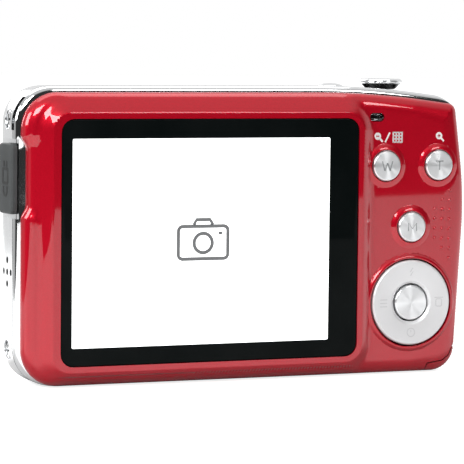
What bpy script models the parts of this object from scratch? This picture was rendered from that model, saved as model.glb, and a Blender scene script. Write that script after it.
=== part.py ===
"""Compact digital camera, modelled as separate solids.

Sizes are in millimetres and are turned into metres by MM where a mesh is made. The camera stands on
z = 0 with the origin in the middle of its base. The lens looks along -Y, the screen along +Y, and the
grip, with the shutter button on top, is the -X end.
"""

import math

import bmesh
import bpy
from mathutils import Matrix, Vector

MM = 0.001

# Overall sizes and walls
BODY_WIDTH = 96.0
BODY_HEIGHT = 58.2      # base to the top corners; the top is crowned a little above this
BODY_DEPTH = 17.5       # front face to the raised screen surround, without the lens
WALL = 1.3
FIT = 0.3               # clear gap between neighbouring solids
ARC_STEPS = 6           # flats on each outline corner
ROUND = 32              # flats on a turned piece
SMALL_ROUND = 20

# Planes across the depth, from the back forwards
BACK = BODY_DEPTH / 2
FRONT = -BODY_DEPTH / 2
PLATEAU_RISE = 1.5
PANEL = BACK - PLATEAU_RISE              # surface around the buttons
COVER_EDGE = PANEL - 2.2                 # where the red cover meets the chrome trim
COVER_INSIDE = PANEL - WALL
TRIM_DEPTH = 1.2
TRIM_BACK = COVER_EDGE - FIT
TRIM_FRONT = TRIM_BACK - TRIM_DEPTH
SHELL_RIM = TRIM_FRONT - FIT
SHELL_ROUND_DEPTH = 7.0                  # how far back the front edge's rounding reaches
SHELL_INSIDE = FRONT + WALL

# Outline corners: x, z, radius, anticlockwise seen from the front (+X right, +Z up)
LEFT = BODY_WIDTH / 2
RIGHT = -BODY_WIDTH / 2
CROWN = 0.1
SHOULDER_X, SHOULDER_DROP = RIGHT + 20.5, 2.3   # the top falls from here to the grip's corner
COVER_STEP = 1.2                         # the red cover is this much smaller than the shell
COVER_TOP = BODY_HEIGHT - 1.13
GRIP_PEAK_Z = 0.62 * BODY_HEIGHT
SHELL_CORNERS = [
    (LEFT, 0.0, 7.8),
    (LEFT, BODY_HEIGHT, 7.5),
    (SHOULDER_X, BODY_HEIGHT + CROWN, 180.0),
    (RIGHT + 1.6, BODY_HEIGHT - SHOULDER_DROP, 6.0),
    (RIGHT + 0.15, GRIP_PEAK_Z, 80.0),
    (RIGHT + 2.1, 0.0, 5.0),
]
COVER_CORNERS = [
    (LEFT - COVER_STEP, 0.05, 7.3),
    (LEFT - COVER_STEP, COVER_TOP, 7.3),
    (SHOULDER_X, COVER_TOP, 180.0),
    (RIGHT + 2.3, COVER_TOP - SHOULDER_DROP - 0.1, 1.8),
    (RIGHT - 0.15, GRIP_PEAK_Z, 80.0),
    (RIGHT + 2.0, 0.05, 5.2),
]
SIDE_ROUND, TOP_ROUND, BASE_ROUND = 4.5, 2.6, 1.5   # inset of the front face from each edge
SHELL_ROUND = [SIDE_ROUND, TOP_ROUND, TOP_ROUND, SIDE_ROUND, SIDE_ROUND, BASE_ROUND]

LIP_INSET, LIP_DEPTH, LIP_T = 1.7, 1.2, 0.6
TRIM_INSET = LIP_INSET - FIT - 0.05
COVER_ROUND = 3.2

# Screen
SCREEN_W, SCREEN_H = 54.0, 40.5          # active area of a 2.7 inch panel
SCREEN_X, SCREEN_Z = LEFT - 37.4, 27.9
GLASS = (SCREEN_X - 33.4, SCREEN_X + 29.3, SCREEN_Z - 23.85, SCREEN_Z + 24.1)   # x0, x1, z0, z1
GLASS_RADIUS = 2.6
GLASS_T, GLASS_SUNK, GLASS_LEDGE = 1.0, 0.15, 1.2
RIM = 1.1                                # flat rim of the surround outside the glass
SURROUND_SLOPE, SURROUND_BASE_SLOPE = 2.9, 2.1
LCD_T, LCD_FRAME = 3.2, 0.8

# Buttons on the back: x from the grip end, z above the base
ZOOM_OUT = (RIGHT + 18.7, 42.3)
ZOOM_IN = (RIGHT + 7.0, 42.35)
MODE = (RIGHT + 12.9, 29.85)
PAD = (RIGHT + 12.8, 14.45)
STATUS_LIGHT = (RIGHT + 20.7, 52.1)
STATUS_W, STATUS_H = 3.0, 1.5
BUTTON_R, BUTTON_RISE, BUTTON_TRAVEL = 3.0, 1.0, 0.5
LIP_REACH, LIP_CREST, LIP_RISE = 1.15, 0.36, 0.45  # soft raised ring round a button, from its hole's edge
RING_R, RING_HOLE_R, RING_RISE = 8.65, 3.9, 0.85
RING_LIP_REACH, RING_LIP_RISE = 0.95, 0.5
LIP_SUNK = 0.12                          # how far under the panel a ring starts
RING_GAP = 0.4
OK_R = 3.55
STEM_R = 1.2
FLANGE, FLANGE_T = 0.6, 0.4              # a button's flange behind the cover

# Layers behind the cover, from the back forwards
RING_BASE = COVER_INSIDE - 0.8
CARRIER_TOP, CARRIER_T, CARRIER_R = RING_BASE - 0.8, 0.5, 5.5
MAT_TOP, MAT_T = CARRIER_TOP - CARRIER_T - 0.35, 0.3
BUTTON_BOARD_TOP, BOARD_T = MAT_TOP - MAT_T - FIT, 0.7
BUTTON_FOOT = MAT_TOP + BUTTON_TRAVEL + 0.2
LCD_BACK = BACK - GLASS_SUNK - GLASS_T - 0.5
CHASSIS_TOP, CHASSIS_T = LCD_BACK - LCD_T - FIT, 0.6

# Card, main board and battery, from the button board forwards
CARD_W, CARD_H, CARD_T, SOCKET_WALL = 24.0, 32.0, 2.1, 0.6
CARD_X, CARD_Z, CARD_TRAVEL = RIGHT + 19.5, 3.1, 1.2
CARD_FRONT = BUTTON_BOARD_TOP - BOARD_T - 0.25 - SOCKET_WALL - CARD_T
BOARD_BACK = CARD_FRONT - 0.45
BOARD_FRONT = BOARD_BACK - BOARD_T
BATTERY_W, BATTERY_H = 31.0, 38.0
BATTERY_X, BATTERY_Z = RIGHT + 23.0, 4.3
BATTERY_FRONT = SHELL_INSIDE + 0.35
BATTERY_T = BOARD_FRONT - FIT - BATTERY_FRONT       # fills what the boards and the card leave

# Front: plate, lens, flash
PLATE_T, PLATE_INSET, PLATE_BASE_INSET = 0.8, 5.5, 2.6
PLATE_BACK = FRONT - FIT
PLATE_FRONT = PLATE_BACK - PLATE_T
LENS_X, LENS_Z = LEFT - 36.0, 29.0
LENS_REACH = 6.5                         # how far the lens stands in front of the body
LENS_FRONT = FRONT - LENS_REACH
LENS_R, LENS_WALL = 15.0, 1.5
LENS_RING_R, LENS_RING_T = 19.0, 1.8
WINDOW_R, WINDOW_T = 8.5, 0.7
LENS_REAR = -1.5
FLASH_X, FLASH_Z, FLASH_W, FLASH_H = RIGHT + 29.1, BODY_HEIGHT - 10.0, 13.0, 6.6
TIMER_X, TIMER_Z, TIMER_R = RIGHT + 42.0, BODY_HEIGHT - 7.4, 1.3
MIC_X, MIC_Z, MIC_HOLE_R = LEFT - 13.0, BODY_HEIGHT - 9.0, 0.5

# Base
TRIPOD_BORE_R, TRIPOD_R, TRIPOD_H, TRIPOD_DEPTH = 3.25, 4.3, 6.5, 5.5   # clears a 1/4 inch screw
TRIPOD_X, TRIPOD_Y = 9.5, FRONT + 7.3
DOOR_INNER_X = RIGHT + 41.5              # hinge end of the battery door
DOOR_TOP_Z = 4.9                         # how far the door climbs the corner
DOOR_FRONT = FRONT + 2.0
DOOR_CORNER_W = 7.0
CAP_X, CAP_Z = RIGHT + 8.7, 1.65         # end of the door that shows at the back
DOOR_SLIDE = 3.0
DOOR_END_GAP = 0.7                       # room for the door's inner end to swing in
PIN_R, KNUCKLE_R = 0.5, 1.0
HINGE_X, HINGE_Z = DOOR_INNER_X - KNUCKLE_R, 0.95
PIN_FRONT, PIN_BACK = DOOR_FRONT + 2.3, SHELL_RIM - 0.6

# Screws
HEAD_R, HEAD_T, SCREW_R, SCREW_LEN = 1.65, 0.6, 0.8, 4.2
SCREW_SUNK = 0.15
SIDE_SCREW_Y = SHELL_RIM - 3.35
SIDE_SCREWS = {"side_screw_upper": BODY_HEIGHT - 6.5, "side_screw_lower": 6.8}
BASE_SCREWS = {"base_screw_outer": LEFT - 17.0, "base_screw_inner": TRIPOD_X + 11.0}

# +X side
USB_Z, USB_H = 40.3, 13.6                # rubber cover
USB_FRONT, USB_BACK = TRIM_BACK - 6.9, TRIM_BACK - 0.3
USB_T = 1.1
USB_LEAN = math.radians(6)
SCOOP_DEPTH, SCOOP_W, SCOOP_MARGIN = 0.75, 8.5, 0.9
PLUG_W, PLUG_H, PLUG_DEPTH, PLUG_LIFT = 3.2, 9.0, 2.8, 0.6
PLUG_Y = SHELL_RIM - 3.45
SPEAKER_Z, SPEAKER_Y, SPEAKER_PITCH, SPEAKER_HOLE_R, SPEAKER_R = 22.1, SHELL_RIM - 3.2, 2.3, 0.65, 2.7
STRAP_Z0, STRAP_Z1 = BODY_HEIGHT - 8.5, BODY_HEIGHT - 2.1
STRAP_FRONT, STRAP_BACK = SHELL_RIM - 0.75, TRIM_FRONT + 0.45
STRAP_BAR_R = 0.5

# Top controls
SHUTTER_X, SHUTTER_Y = RIGHT + 15.7, FRONT + 6.65
SHUTTER_R, SHUTTER_T, SHUTTER_TRAVEL, SHUTTER_STEM_R = 4.5, 1.45, 1.0, 1.6
SHUTTER_TOP = BODY_HEIGHT + 1.5
SHUTTER_GAP = 0.2
COLLAR_TOP, COLLAR_R, COLLAR_T = BODY_HEIGHT - 3.6, SHUTTER_R + 0.35, 0.8
POWER_X, POWER_R, POWER_RISE, POWER_TRAVEL = RIGHT + 27.0, 2.6, 0.3, 0.4
TOP_BOARD_Z = BODY_HEIGHT - 6.4

MATERIALS = {
    "red_gloss": ((0.55, 0.01, 0.03), 0.12, 0.35),
    "satin_silver": ((0.75, 0.76, 0.78), 0.3, 0.8),
    "chrome": ((0.85, 0.86, 0.88), 0.06, 1.0),
    "spun_metal": ((0.82, 0.83, 0.84), 0.22, 1.0),
    "black_plastic": ((0.02, 0.02, 0.022), 0.45, 0.0),
    "black_glass": ((0.01, 0.013, 0.013), 0.04, 0.0),
    "clear_glass": ((0.85, 0.9, 0.92), 0.02, 0.0),
    "grey_rubber": ((0.17, 0.18, 0.18), 0.7, 0.0),
    "screen": ((0.95, 0.96, 0.97), 0.3, 0.0),
    "steel": ((0.6, 0.6, 0.62), 0.3, 1.0),
    "brass": ((0.75, 0.6, 0.3), 0.3, 1.0),
    "board_green": ((0.02, 0.2, 0.08), 0.5, 0.0),
    "battery_wrap": ((0.12, 0.14, 0.3), 0.5, 0.0),
    "orange_plastic": ((0.85, 0.3, 0.05), 0.45, 0.0),
    "white_silicone": ((0.85, 0.85, 0.82), 0.6, 0.0),
}


def clear_scene():
    for obj in list(bpy.data.objects):
        bpy.data.objects.remove(obj)


def material(name):
    found = bpy.data.materials.get(name)
    if found:
        return found
    colour, roughness, metallic = MATERIALS[name]
    made = bpy.data.materials.new(name)
    made.use_nodes = True
    shader = made.node_tree.nodes["Principled BSDF"]
    shader.inputs["Base Color"].default_value = (*colour, 1.0)
    shader.inputs["Roughness"].default_value = roughness
    shader.inputs["Metallic"].default_value = metallic
    return made


def add_mesh(name, points, faces, finish, at=(0, 0, 0)):
    """An object from points in millimetres, placed at a point in millimetres."""
    shape = bmesh.new()
    verts = [shape.verts.new(Vector(p) * MM) for p in points]
    for face in faces:
        shape.faces.new([verts[i] for i in face])
    bmesh.ops.recalc_face_normals(shape, faces=shape.faces)
    if shape.calc_volume(signed=True) < 0:
        bmesh.ops.reverse_faces(shape, faces=shape.faces)
    mesh = bpy.data.meshes.new(name)
    shape.to_mesh(mesh)
    shape.free()
    obj = bpy.data.objects.new(name, mesh)
    obj.location = Vector(at) * MM
    bpy.context.scene.collection.objects.link(obj)
    if finish is None:                   # a cutter
        obj.hide_render = True
        obj.display_type = "WIRE"
    else:
        mesh.materials.append(material(finish))
        mesh.shade_smooth()
        mesh.set_sharp_from_angle(angle=math.radians(35))
    return obj


def outline(corners, inset=0.0, steps=ARC_STEPS):
    """Points of a convex outline with round corners. inset moves every edge inwards, by one value or
    by one for each edge; edge i runs from corner i to the next."""
    count = len(corners)
    insets = list(inset) if isinstance(inset, (list, tuple)) else [inset] * count
    starts, ways = [], []
    for i in range(count):
        here = Vector(corners[i][:2])
        way = (Vector(corners[(i + 1) % count][:2]) - here).normalized()
        starts.append(here + Vector((-way.y, way.x)) * insets[i])
        ways.append(way)
    points = []
    for i in range(count):
        before, after = ways[i - 1], ways[i]
        cross = before.x * after.y - before.y * after.x
        gap = starts[i] - starts[i - 1]
        along = (gap.x * after.y - gap.y * after.x) / cross
        corner = starts[i - 1] + before * along
        turn = math.atan2(cross, before.dot(after))
        radius = max(corners[i][2] - max(insets[i - 1], insets[i]), 0.3)
        first = corner - before * radius * math.tan(turn / 2)
        centre = first + Vector((-before.y, before.x)) * radius
        for step in range(steps + 1):
            turned_by = Matrix.Rotation(turn * step / steps, 2)
            points.append(centre + turned_by @ (first - centre))
    return points


def rectangle(x0, x1, z0, z1, radius):
    return [(x1, z0, radius), (x1, z1, radius), (x0, z1, radius), (x0, z0, radius)]


def loft(name, loops, finish, at=(0, 0, 0)):
    """A solid skinned over loops, each (outline points in x and z, y), with flat ends."""
    points, faces = [], []
    size = len(loops[0][0])
    for ring, y in loops:
        points += [(p[0], y, p[1]) for p in ring]
    for level in range(len(loops) - 1):
        for i in range(size):
            j = (i + 1) % size
            low, high = level * size, (level + 1) * size
            faces.append((low + i, low + j, high + j, high + i))
    faces.append(tuple(range(size)))
    faces.append(tuple(range((len(loops) - 1) * size, len(loops) * size)))
    return add_mesh(name, points, faces, finish, at)


def slab(name, corners, y0, y1, finish, inset=0.0, steps=ARC_STEPS):
    ring = outline(corners, inset, steps)
    return loft(name, [(ring, y0), (ring, y1)], finish)


def box(name, x, y, z, finish, at=(0, 0, 0)):
    """A block from pairs of limits along each axis."""
    points = [(a, b, c) for a in x for b in y for c in z]
    faces = [(0, 1, 3, 2), (4, 6, 7, 5), (0, 4, 5, 1), (2, 3, 7, 6), (0, 2, 6, 4), (1, 5, 7, 3)]
    return add_mesh(name, points, faces, finish, at)


def turned(name, profile, axis, finish, at=(0, 0, 0), flats=ROUND):
    """A solid of revolution. profile is (radius, height) pairs; it is closed on itself unless it starts
    and ends on the axis. Heights run along the axis letter given."""
    order = {"X": (2, 0, 1), "Y": (0, 2, 1), "Z": (0, 1, 2)}[axis]
    points, rings, faces = [], [], []
    for radius, height in profile:
        if radius == 0:
            rings.append([len(points)] * flats)
            ring = [(0.0, 0.0, height)]
        else:
            rings.append(list(range(len(points), len(points) + flats)))
            ring = [
                (radius * math.cos(a), radius * math.sin(a), height)
                for a in (2 * math.pi * k / flats for k in range(flats))
            ]
        points += [tuple(p[k] for k in order) for p in ring]
    on_axis = profile[0][0] == 0
    for i in range(len(profile) - 1 if on_axis else len(profile)):
        low, high = rings[i], rings[(i + 1) % len(rings)]
        for k in range(flats):
            n = (k + 1) % flats
            face = list(dict.fromkeys((low[k], low[n], high[n], high[k])))
            faces.append(face)
    return add_mesh(name, points, faces, finish, at)


def rod(name, radius, low, high, axis, finish, at=(0, 0, 0), flats=SMALL_ROUND):
    return turned(name, [(0, low), (radius, low), (radius, high), (0, high)], axis, finish, at, flats)


def boolean(obj, other, operation="DIFFERENCE"):
    modifier = obj.modifiers.new(f"{operation.lower()} {other.name}", "BOOLEAN")
    modifier.operation = operation
    modifier.object = other
    other.hide_render = True
    other.display_type = "WIRE"


def cut(obj, *cutters):
    for cutter in cutters:
        boolean(obj, cutter)


def soften(obj, width, segments=2):
    """A small edge radius on a finished block."""
    modifier = obj.modifiers.new("edge", "BEVEL")
    modifier.width = width * MM
    modifier.segments = segments
    modifier.limit_method = "ANGLE"
    modifier.angle_limit = math.radians(40)


def hole(obj, name, radius, low, high, axis, at, flats=SMALL_ROUND):
    cut(obj, rod(name, radius, low, high, axis, None, at, flats))


def keep_inside(obj, other):
    boolean(obj, other, "INTERSECT")


# Casing

def skin_loops(rear, inner_rear):
    """Outer skin from the rear round the front edge, then the inner skin back again."""
    start = FRONT + SHELL_ROUND_DEPTH
    bends = [k * math.pi / 10 for k in range(6)]
    outer = [(outline(SHELL_CORNERS), rear)]
    inner = [(outline(SHELL_CORNERS, WALL), inner_rear)]
    for a in bends:
        sunk = [r * (1 - math.cos(a)) for r in SHELL_ROUND]
        outer.append((outline(SHELL_CORNERS, sunk), start - SHELL_ROUND_DEPTH * math.sin(a)))
        sunk = [r + WALL * math.cos(a) for r in sunk]
        inner.append((outline(SHELL_CORNERS, sunk), start - (SHELL_ROUND_DEPTH - WALL) * math.sin(a)))
    return outer[::-1] + inner


def door_region(name, grow, end_gap=0.0):
    """The space the battery door fills in the shell: the floor, and the corner beside it."""
    far = RIGHT - 6
    corner, floor = RIGHT + DOOR_CORNER_W + grow, WALL + 0.1 + grow
    across = [(DOOR_INNER_X + end_gap, -2), (DOOR_INNER_X + end_gap, floor), (corner, floor),
              (corner, DOOR_TOP_Z + grow), (far, DOOR_TOP_Z + grow), (far, -2)]
    return loft(name, [(across, DOOR_FRONT - grow), (across, SHELL_RIM + 1)], None)


def cap_region(name, grow, front, back):
    """The door's end seen from the back: low under the pad, then round the corner."""
    across = [(CAP_X + grow, -2), (CAP_X - 0.4 + grow, CAP_Z + grow), (RIGHT + 4.9 + grow, CAP_Z + 0.45 + grow),
              (RIGHT + 3.3 + grow, 0.65 * DOOR_TOP_Z + grow), (RIGHT + 2.4 + grow, DOOR_TOP_Z + grow),
              (RIGHT - 6, DOOR_TOP_Z + grow), (RIGHT - 6, -2)]
    return loft(name, [(across, front), (across, back)], None)


def scoop(name):
    """A leaning block that lowers the side behind the rubber cover, deepest at the back."""
    half = USB_H / 2 + SCOOP_MARGIN
    block = box(name, (0, 6), (-SCOOP_W, 6), (USB_Z - half, USB_Z + half), None)
    block.rotation_euler = (0, 0, USB_LEAN)
    block.location = Vector((LEFT - SCOOP_DEPTH, SHELL_RIM, 0)) * MM
    return block


def strap_notch(name):
    return box(name, (LEFT - 5, LEFT + 3), (STRAP_FRONT, STRAP_BACK), (STRAP_Z0, STRAP_Z1), None)


def strap_bar_place():
    return (LEFT - 1.4, 0, STRAP_Z0 + 1.5)


def front_shell():
    shell = loft("front_shell", skin_loops(SHELL_RIM, SHELL_RIM), "satin_silver")
    cut(shell, door_region("door_space", FIT, DOOR_END_GAP))
    for name, z in SIDE_SCREWS.items():
        at = (LEFT - SCREW_SUNK, SIDE_SCREW_Y, z)
        cut(shell, screw_way(name, "X", -1, at))
    for name, x in BASE_SCREWS.items():
        at = (x, TRIPOD_Y, SCREW_SUNK)
        cut(shell, screw_way(name, "Z", 1, at))
    hole(shell, "lens_opening", LENS_R + FIT, -3, 3, "Y", (LENS_X, FRONT, LENS_Z), ROUND)
    cut(shell, front_box("flash_opening", FIT))
    hole(shell, "timer_opening", TIMER_R + FIT, -3, 3, "Y", (TIMER_X, FRONT, TIMER_Z), 12)
    hole(shell, "microphone_hole", MIC_HOLE_R, -3, 3, "Y", (MIC_X, FRONT, MIC_Z), 8)
    for dy, dz in ((0, 0), (1, 0), (-1, 0), (0, 1), (0, -1)):
        at = (LEFT, SPEAKER_Y + dy * SPEAKER_PITCH, SPEAKER_Z + dz * SPEAKER_PITCH)
        hole(shell, f"speaker_hole_{dy}_{dz}", SPEAKER_HOLE_R, -3, 3, "X", at, 10)
    hole(shell, "tripod_opening", TRIPOD_R + FIT, -2, 4, "Z", (TRIPOD_X, TRIPOD_Y, 0), ROUND)
    top = BODY_HEIGHT
    hole(shell, "shutter_opening", SHUTTER_R + SHUTTER_GAP, -4, 3, "Z", (SHUTTER_X, SHUTTER_Y, top), ROUND)
    hole(shell, "power_opening", POWER_R + FIT, -4, 3, "Z", (POWER_X, SHUTTER_Y, top))
    cut(shell, scoop("shell_scoop"))
    cut(shell, box("plug_opening", (LEFT - 4, LEFT + 1), (PLUG_Y - PLUG_W / 2 - FIT, PLUG_Y + PLUG_W / 2 + FIT),
                   (USB_Z - PLUG_H / 2 - FIT, USB_Z + PLUG_H / 2 + PLUG_LIFT), None))
    cut(shell, strap_notch("shell_strap_notch"))
    hole(shell, "shell_bar_hole", STRAP_BAR_R + 0.15, STRAP_FRONT - 0.5, STRAP_BACK, "Y", strap_bar_place(), 12)
    return shell


def screw_way(name, axis, way, at):
    """Clearance for a screw: a wide seat for the head and a narrow way for the shank."""
    seat, narrow = HEAD_R + FIT, SCREW_R + FIT
    step = (HEAD_T + 0.15) * way
    profile = [(0, -3 * way), (seat, -3 * way), (seat, step), (narrow, step), (narrow, 4 * way), (0, 4 * way)]
    return turned(f"{name}_way", profile, axis, None, at, 16)


def front_box(name, grow):
    return box(name, (-FLASH_W / 2 - grow, FLASH_W / 2 + grow), (-5, 3),
               (-FLASH_H / 2 - grow, FLASH_H / 2 + grow), None, (FLASH_X, FRONT, FLASH_Z))


def trim_ring():
    """Chrome ring whose outer face leans from the shell's outline in to the cover's."""
    outer_front, outer_back = outline(SHELL_CORNERS), outline(COVER_CORNERS)
    inner = outline(COVER_CORNERS, TRIM_INSET)
    middle = [a.lerp(b, 0.35) for a, b in zip(outer_front, outer_back)]
    ring = loft("trim_ring", [(outer_front, TRIM_FRONT), (middle, TRIM_FRONT + 0.6 * TRIM_DEPTH),
                              (outer_back, TRIM_BACK)], "chrome")
    cut(ring, loft("trim_bore", [(inner, TRIM_FRONT - 2), (inner, TRIM_BACK + 2)], None))
    cut(ring, cap_region("trim_cap_space", FIT, TRIM_FRONT - 2, TRIM_BACK + 2))
    cut(ring, scoop("trim_scoop"))
    cut(ring, strap_notch("trim_strap_notch"))
    return ring


def cover_skin():
    loops = [(outline(COVER_CORNERS), COVER_EDGE)]
    for a in (math.pi / 6, math.pi / 3, math.pi / 2):
        loops.append((outline(COVER_CORNERS, COVER_ROUND * (1 - math.cos(a))),
                      COVER_EDGE + (PANEL - COVER_EDGE) * math.sin(a)))
    return loops


def surround():
    """The raised surround of the screen, a rounded rectangle with leaning sides."""
    x0, x1, z0, z1 = GLASS
    rim = rectangle(x0 - RIM, x1 + RIM + 0.5, z0 - RIM, z1 + RIM, GLASS_RADIUS + RIM)
    slopes = [SURROUND_SLOPE] * 3 + [SURROUND_BASE_SLOPE]
    loops = []
    for part, height in ((1.0, -0.9), (0.75, 0.2), (0.3, 1.2), (0.0, PLATEAU_RISE)):
        loops.append((outline(rim, [-slope * part for slope in slopes]), PANEL + height))
    return loft("screen_surround", loops, None)


def button_lip(name, spot, hole_r, reach, rise):
    """A soft raised ring on the panel, before its hole is cut."""
    inside, crest, foot = COVER_INSIDE + 0.2, hole_r + LIP_CREST, hole_r + reach
    profile = [(0, inside), (foot, inside), (foot, PANEL - LIP_SUNK), (0.35 * crest + 0.65 * foot, PANEL + 0.55 * rise),
               (0.7 * crest + 0.3 * foot, PANEL + 0.9 * rise), (crest, PANEL + rise), (0, PANEL + rise)]
    return turned(name, profile, "Y", None, (spot[0], 0, spot[1]))


def back_cover():
    lip = outline(COVER_CORNERS, LIP_INSET)
    inside = outline(COVER_CORNERS, LIP_INSET + LIP_T)
    loops = cover_skin()[::-1] + [(lip, COVER_EDGE), (lip, COVER_EDGE - LIP_DEPTH),
                                  (inside, COVER_EDGE - LIP_DEPTH), (inside, COVER_INSIDE)]
    cover = loft("back_cover", loops, "red_gloss")
    boolean(cover, surround(), "UNION")
    spots = {"zoom_out": ZOOM_OUT, "zoom_in": ZOOM_IN, "mode": MODE}
    for name, spot in spots.items():
        boolean(cover, button_lip(f"{name}_lip", spot, BUTTON_R + FIT, LIP_REACH, LIP_RISE), "UNION")
    ring_hole = RING_R + RING_GAP
    boolean(cover, button_lip("pad_lip", PAD, ring_hole, RING_LIP_REACH, RING_LIP_RISE), "UNION")
    x0, x1, z0, z1 = GLASS
    pane = rectangle(x0, x1, z0, z1, GLASS_RADIUS)
    cut(cover, slab("glass_pocket", pane, BACK - GLASS_SUNK - GLASS_T - FIT, BACK + 1, None, -0.15))
    cut(cover, slab("lcd_opening", pane, COVER_EDGE - 4, BACK + 1, None, GLASS_LEDGE))
    for name, spot in spots.items():
        hole(cover, f"{name}_hole", BUTTON_R + FIT, COVER_EDGE - 4, BACK + 1, "Y", (spot[0], 0, spot[1]), ROUND)
    hole(cover, "pad_hole", ring_hole, COVER_EDGE - 4, BACK + 1, "Y", (PAD[0], 0, PAD[1]), ROUND)
    cut(cover, status_lozenge("status_opening", COVER_EDGE - 4, BACK + 1, None, -0.15))
    cut(cover, cap_region("cover_cap_space", FIT, TRIM_FRONT - 2, BACK + 2))
    cut(cover, scoop("cover_scoop"))
    return cover


def status_lozenge(name, y0, y1, finish, inset=0.0):
    x, z = STATUS_LIGHT
    shape = rectangle(x - STATUS_W / 2, x + STATUS_W / 2, z - STATUS_H / 2, z + STATUS_H / 2, STATUS_H / 2 - 0.01)
    return slab(name, shape, y0, y1, finish, inset, 4)


# Screen

def screen_parts():
    x0, x1, z0, z1 = GLASS
    top = BACK - GLASS_SUNK
    slab("screen_glass", rectangle(x0, x1, z0, z1, GLASS_RADIUS), top - GLASS_T, top, "black_glass", 0.05)
    half_w, half_h = SCREEN_W / 2 + LCD_FRAME, SCREEN_H / 2 + LCD_FRAME
    box("lcd_module", (-half_w, half_w), (LCD_BACK - LCD_T, LCD_BACK), (-half_h, half_h), "screen",
        (SCREEN_X, 0, SCREEN_Z))
    status_lozenge("status_light_pipe", MAT_TOP, PANEL - 0.05, "clear_glass")


# Buttons on the back

def push_button(name, spot):
    under = COVER_INSIDE - FIT
    profile = [(0, BUTTON_FOOT), (STEM_R, BUTTON_FOOT), (STEM_R, under - FLANGE_T), (BUTTON_R + FLANGE, under - FLANGE_T),
               (BUTTON_R + FLANGE, under), (BUTTON_R, under), (BUTTON_R, PANEL + BUTTON_RISE - 0.25),
               (BUTTON_R - 0.25, PANEL + BUTTON_RISE), (0, PANEL + BUTTON_RISE - 0.1)]
    return turned(name, profile, "Y", "spun_metal", (spot[0], 0, spot[1]))


def navigation():
    at = (PAD[0], CARRIER_TOP, PAD[1])
    top = PANEL + RING_RISE - 0.45 - CARRIER_TOP
    base = RING_BASE - CARRIER_TOP
    ring = [(RING_HOLE_R, base), (RING_R, base), (RING_R, top - 0.1), (RING_R - 0.6, top + 0.45),
            (RING_HOLE_R + 0.5, top + 0.15), (RING_HOLE_R, top - 0.05)]
    turned("nav_ring", ring, "Y", "satin_silver", at, 40)
    carrier = [(STEM_R + 0.8, -CARRIER_T), (CARRIER_R, -CARRIER_T), (CARRIER_R, 0), (STEM_R + 0.8, 0)]
    turned("nav_carrier", carrier, "Y", "black_plastic", at)
    cap = [(0, BUTTON_FOOT), (STEM_R, BUTTON_FOOT), (STEM_R, RING_BASE + 0.15), (OK_R, RING_BASE + 0.15),
           (OK_R, PANEL + RING_RISE - 0.4), (OK_R - 0.25, PANEL + RING_RISE - 0.15), (0, PANEL + RING_RISE - 0.25)]
    turned("ok_button", cap, "Y", "spun_metal", (PAD[0], 0, PAD[1]))


def button_layers():
    x0, x1 = RIGHT + 3.6, RIGHT + 22.5
    box("button_mat", (x0 + 0.6, x1 - 0.4), (MAT_TOP - MAT_T, MAT_TOP), (8.5, ZOOM_IN[1] + 4), "white_silicone")
    box("button_board", (x0, x1), (BUTTON_BOARD_TOP - BOARD_T, BUTTON_BOARD_TOP), (7.5, ZOOM_IN[1] + 5), "board_green")


# Top controls

def top_controls():
    low = SHUTTER_TOP - SHUTTER_T
    foot = TOP_BOARD_Z + SHUTTER_TRAVEL
    disc = [(0, foot), (SHUTTER_STEM_R, foot), (SHUTTER_STEM_R, low), (SHUTTER_R - 0.3, low),
            (SHUTTER_R, low + 0.35), (SHUTTER_R, SHUTTER_TOP - 0.4), (SHUTTER_R - 0.4, SHUTTER_TOP - 0.08),
            (SHUTTER_R - 0.9, SHUTTER_TOP), (0, SHUTTER_TOP - 0.05)]
    turned("shutter_button", disc, "Z", "spun_metal", (SHUTTER_X, SHUTTER_Y, 0), 40)
    bore, neck = SHUTTER_STEM_R + FIT, SHUTTER_STEM_R + 1.1
    collar = [(bore, COLLAR_TOP - COLLAR_T), (COLLAR_R, COLLAR_TOP - COLLAR_T), (COLLAR_R, COLLAR_TOP),
              (neck, COLLAR_TOP), (neck, COLLAR_TOP + 1.2), (bore, COLLAR_TOP + 1.2)]
    turned("shutter_collar", collar, "Z", "black_plastic", (SHUTTER_X, SHUTTER_Y, 0))
    flange_top = BODY_HEIGHT - WALL - 0.5
    top = BODY_HEIGHT + POWER_RISE
    cap = [(0, TOP_BOARD_Z + POWER_TRAVEL + 0.2), (STEM_R, TOP_BOARD_Z + POWER_TRAVEL + 0.2),
           (STEM_R, flange_top - FLANGE_T), (POWER_R + FLANGE, flange_top - FLANGE_T), (POWER_R + FLANGE, flange_top),
           (POWER_R, flange_top), (POWER_R, top - 0.1), (POWER_R - 0.4, top + 0.15), (0, top + 0.3)]
    turned("power_button", cap, "Z", "spun_metal", (POWER_X, SHUTTER_Y, 0))
    box("top_switch_board", (SHUTTER_X - 6, POWER_X + 4), (SHUTTER_Y - 2.2, SHUTTER_Y + 3.8),
        (TOP_BOARD_Z - BOARD_T, TOP_BOARD_Z), "board_green")


# Front and lens

def front_plate():
    sunk = [PLATE_INSET] * 5 + [PLATE_BASE_INSET]
    sunk[1] = sunk[2] = PLATE_INSET - 2.0
    loops = [(outline(SHELL_CORNERS, sunk), PLATE_BACK),
             (outline(SHELL_CORNERS, sunk), PLATE_FRONT + 0.3),
             (outline(SHELL_CORNERS, [s + 0.3 for s in sunk]), PLATE_FRONT)]
    plate = loft("front_plate", loops, "red_gloss")
    hole(plate, "plate_lens_opening", LENS_R + FIT, -4, 3, "Y", (LENS_X, FRONT, LENS_Z), ROUND)
    cut(plate, front_box("plate_flash_opening", FIT))
    hole(plate, "plate_timer_opening", TIMER_R + FIT, -4, 3, "Y", (TIMER_X, FRONT, TIMER_Z), 12)
    hole(plate, "plate_microphone_hole", MIC_HOLE_R, -4, 3, "Y", (MIC_X, FRONT, MIC_Z), 8)
    return plate


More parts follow.
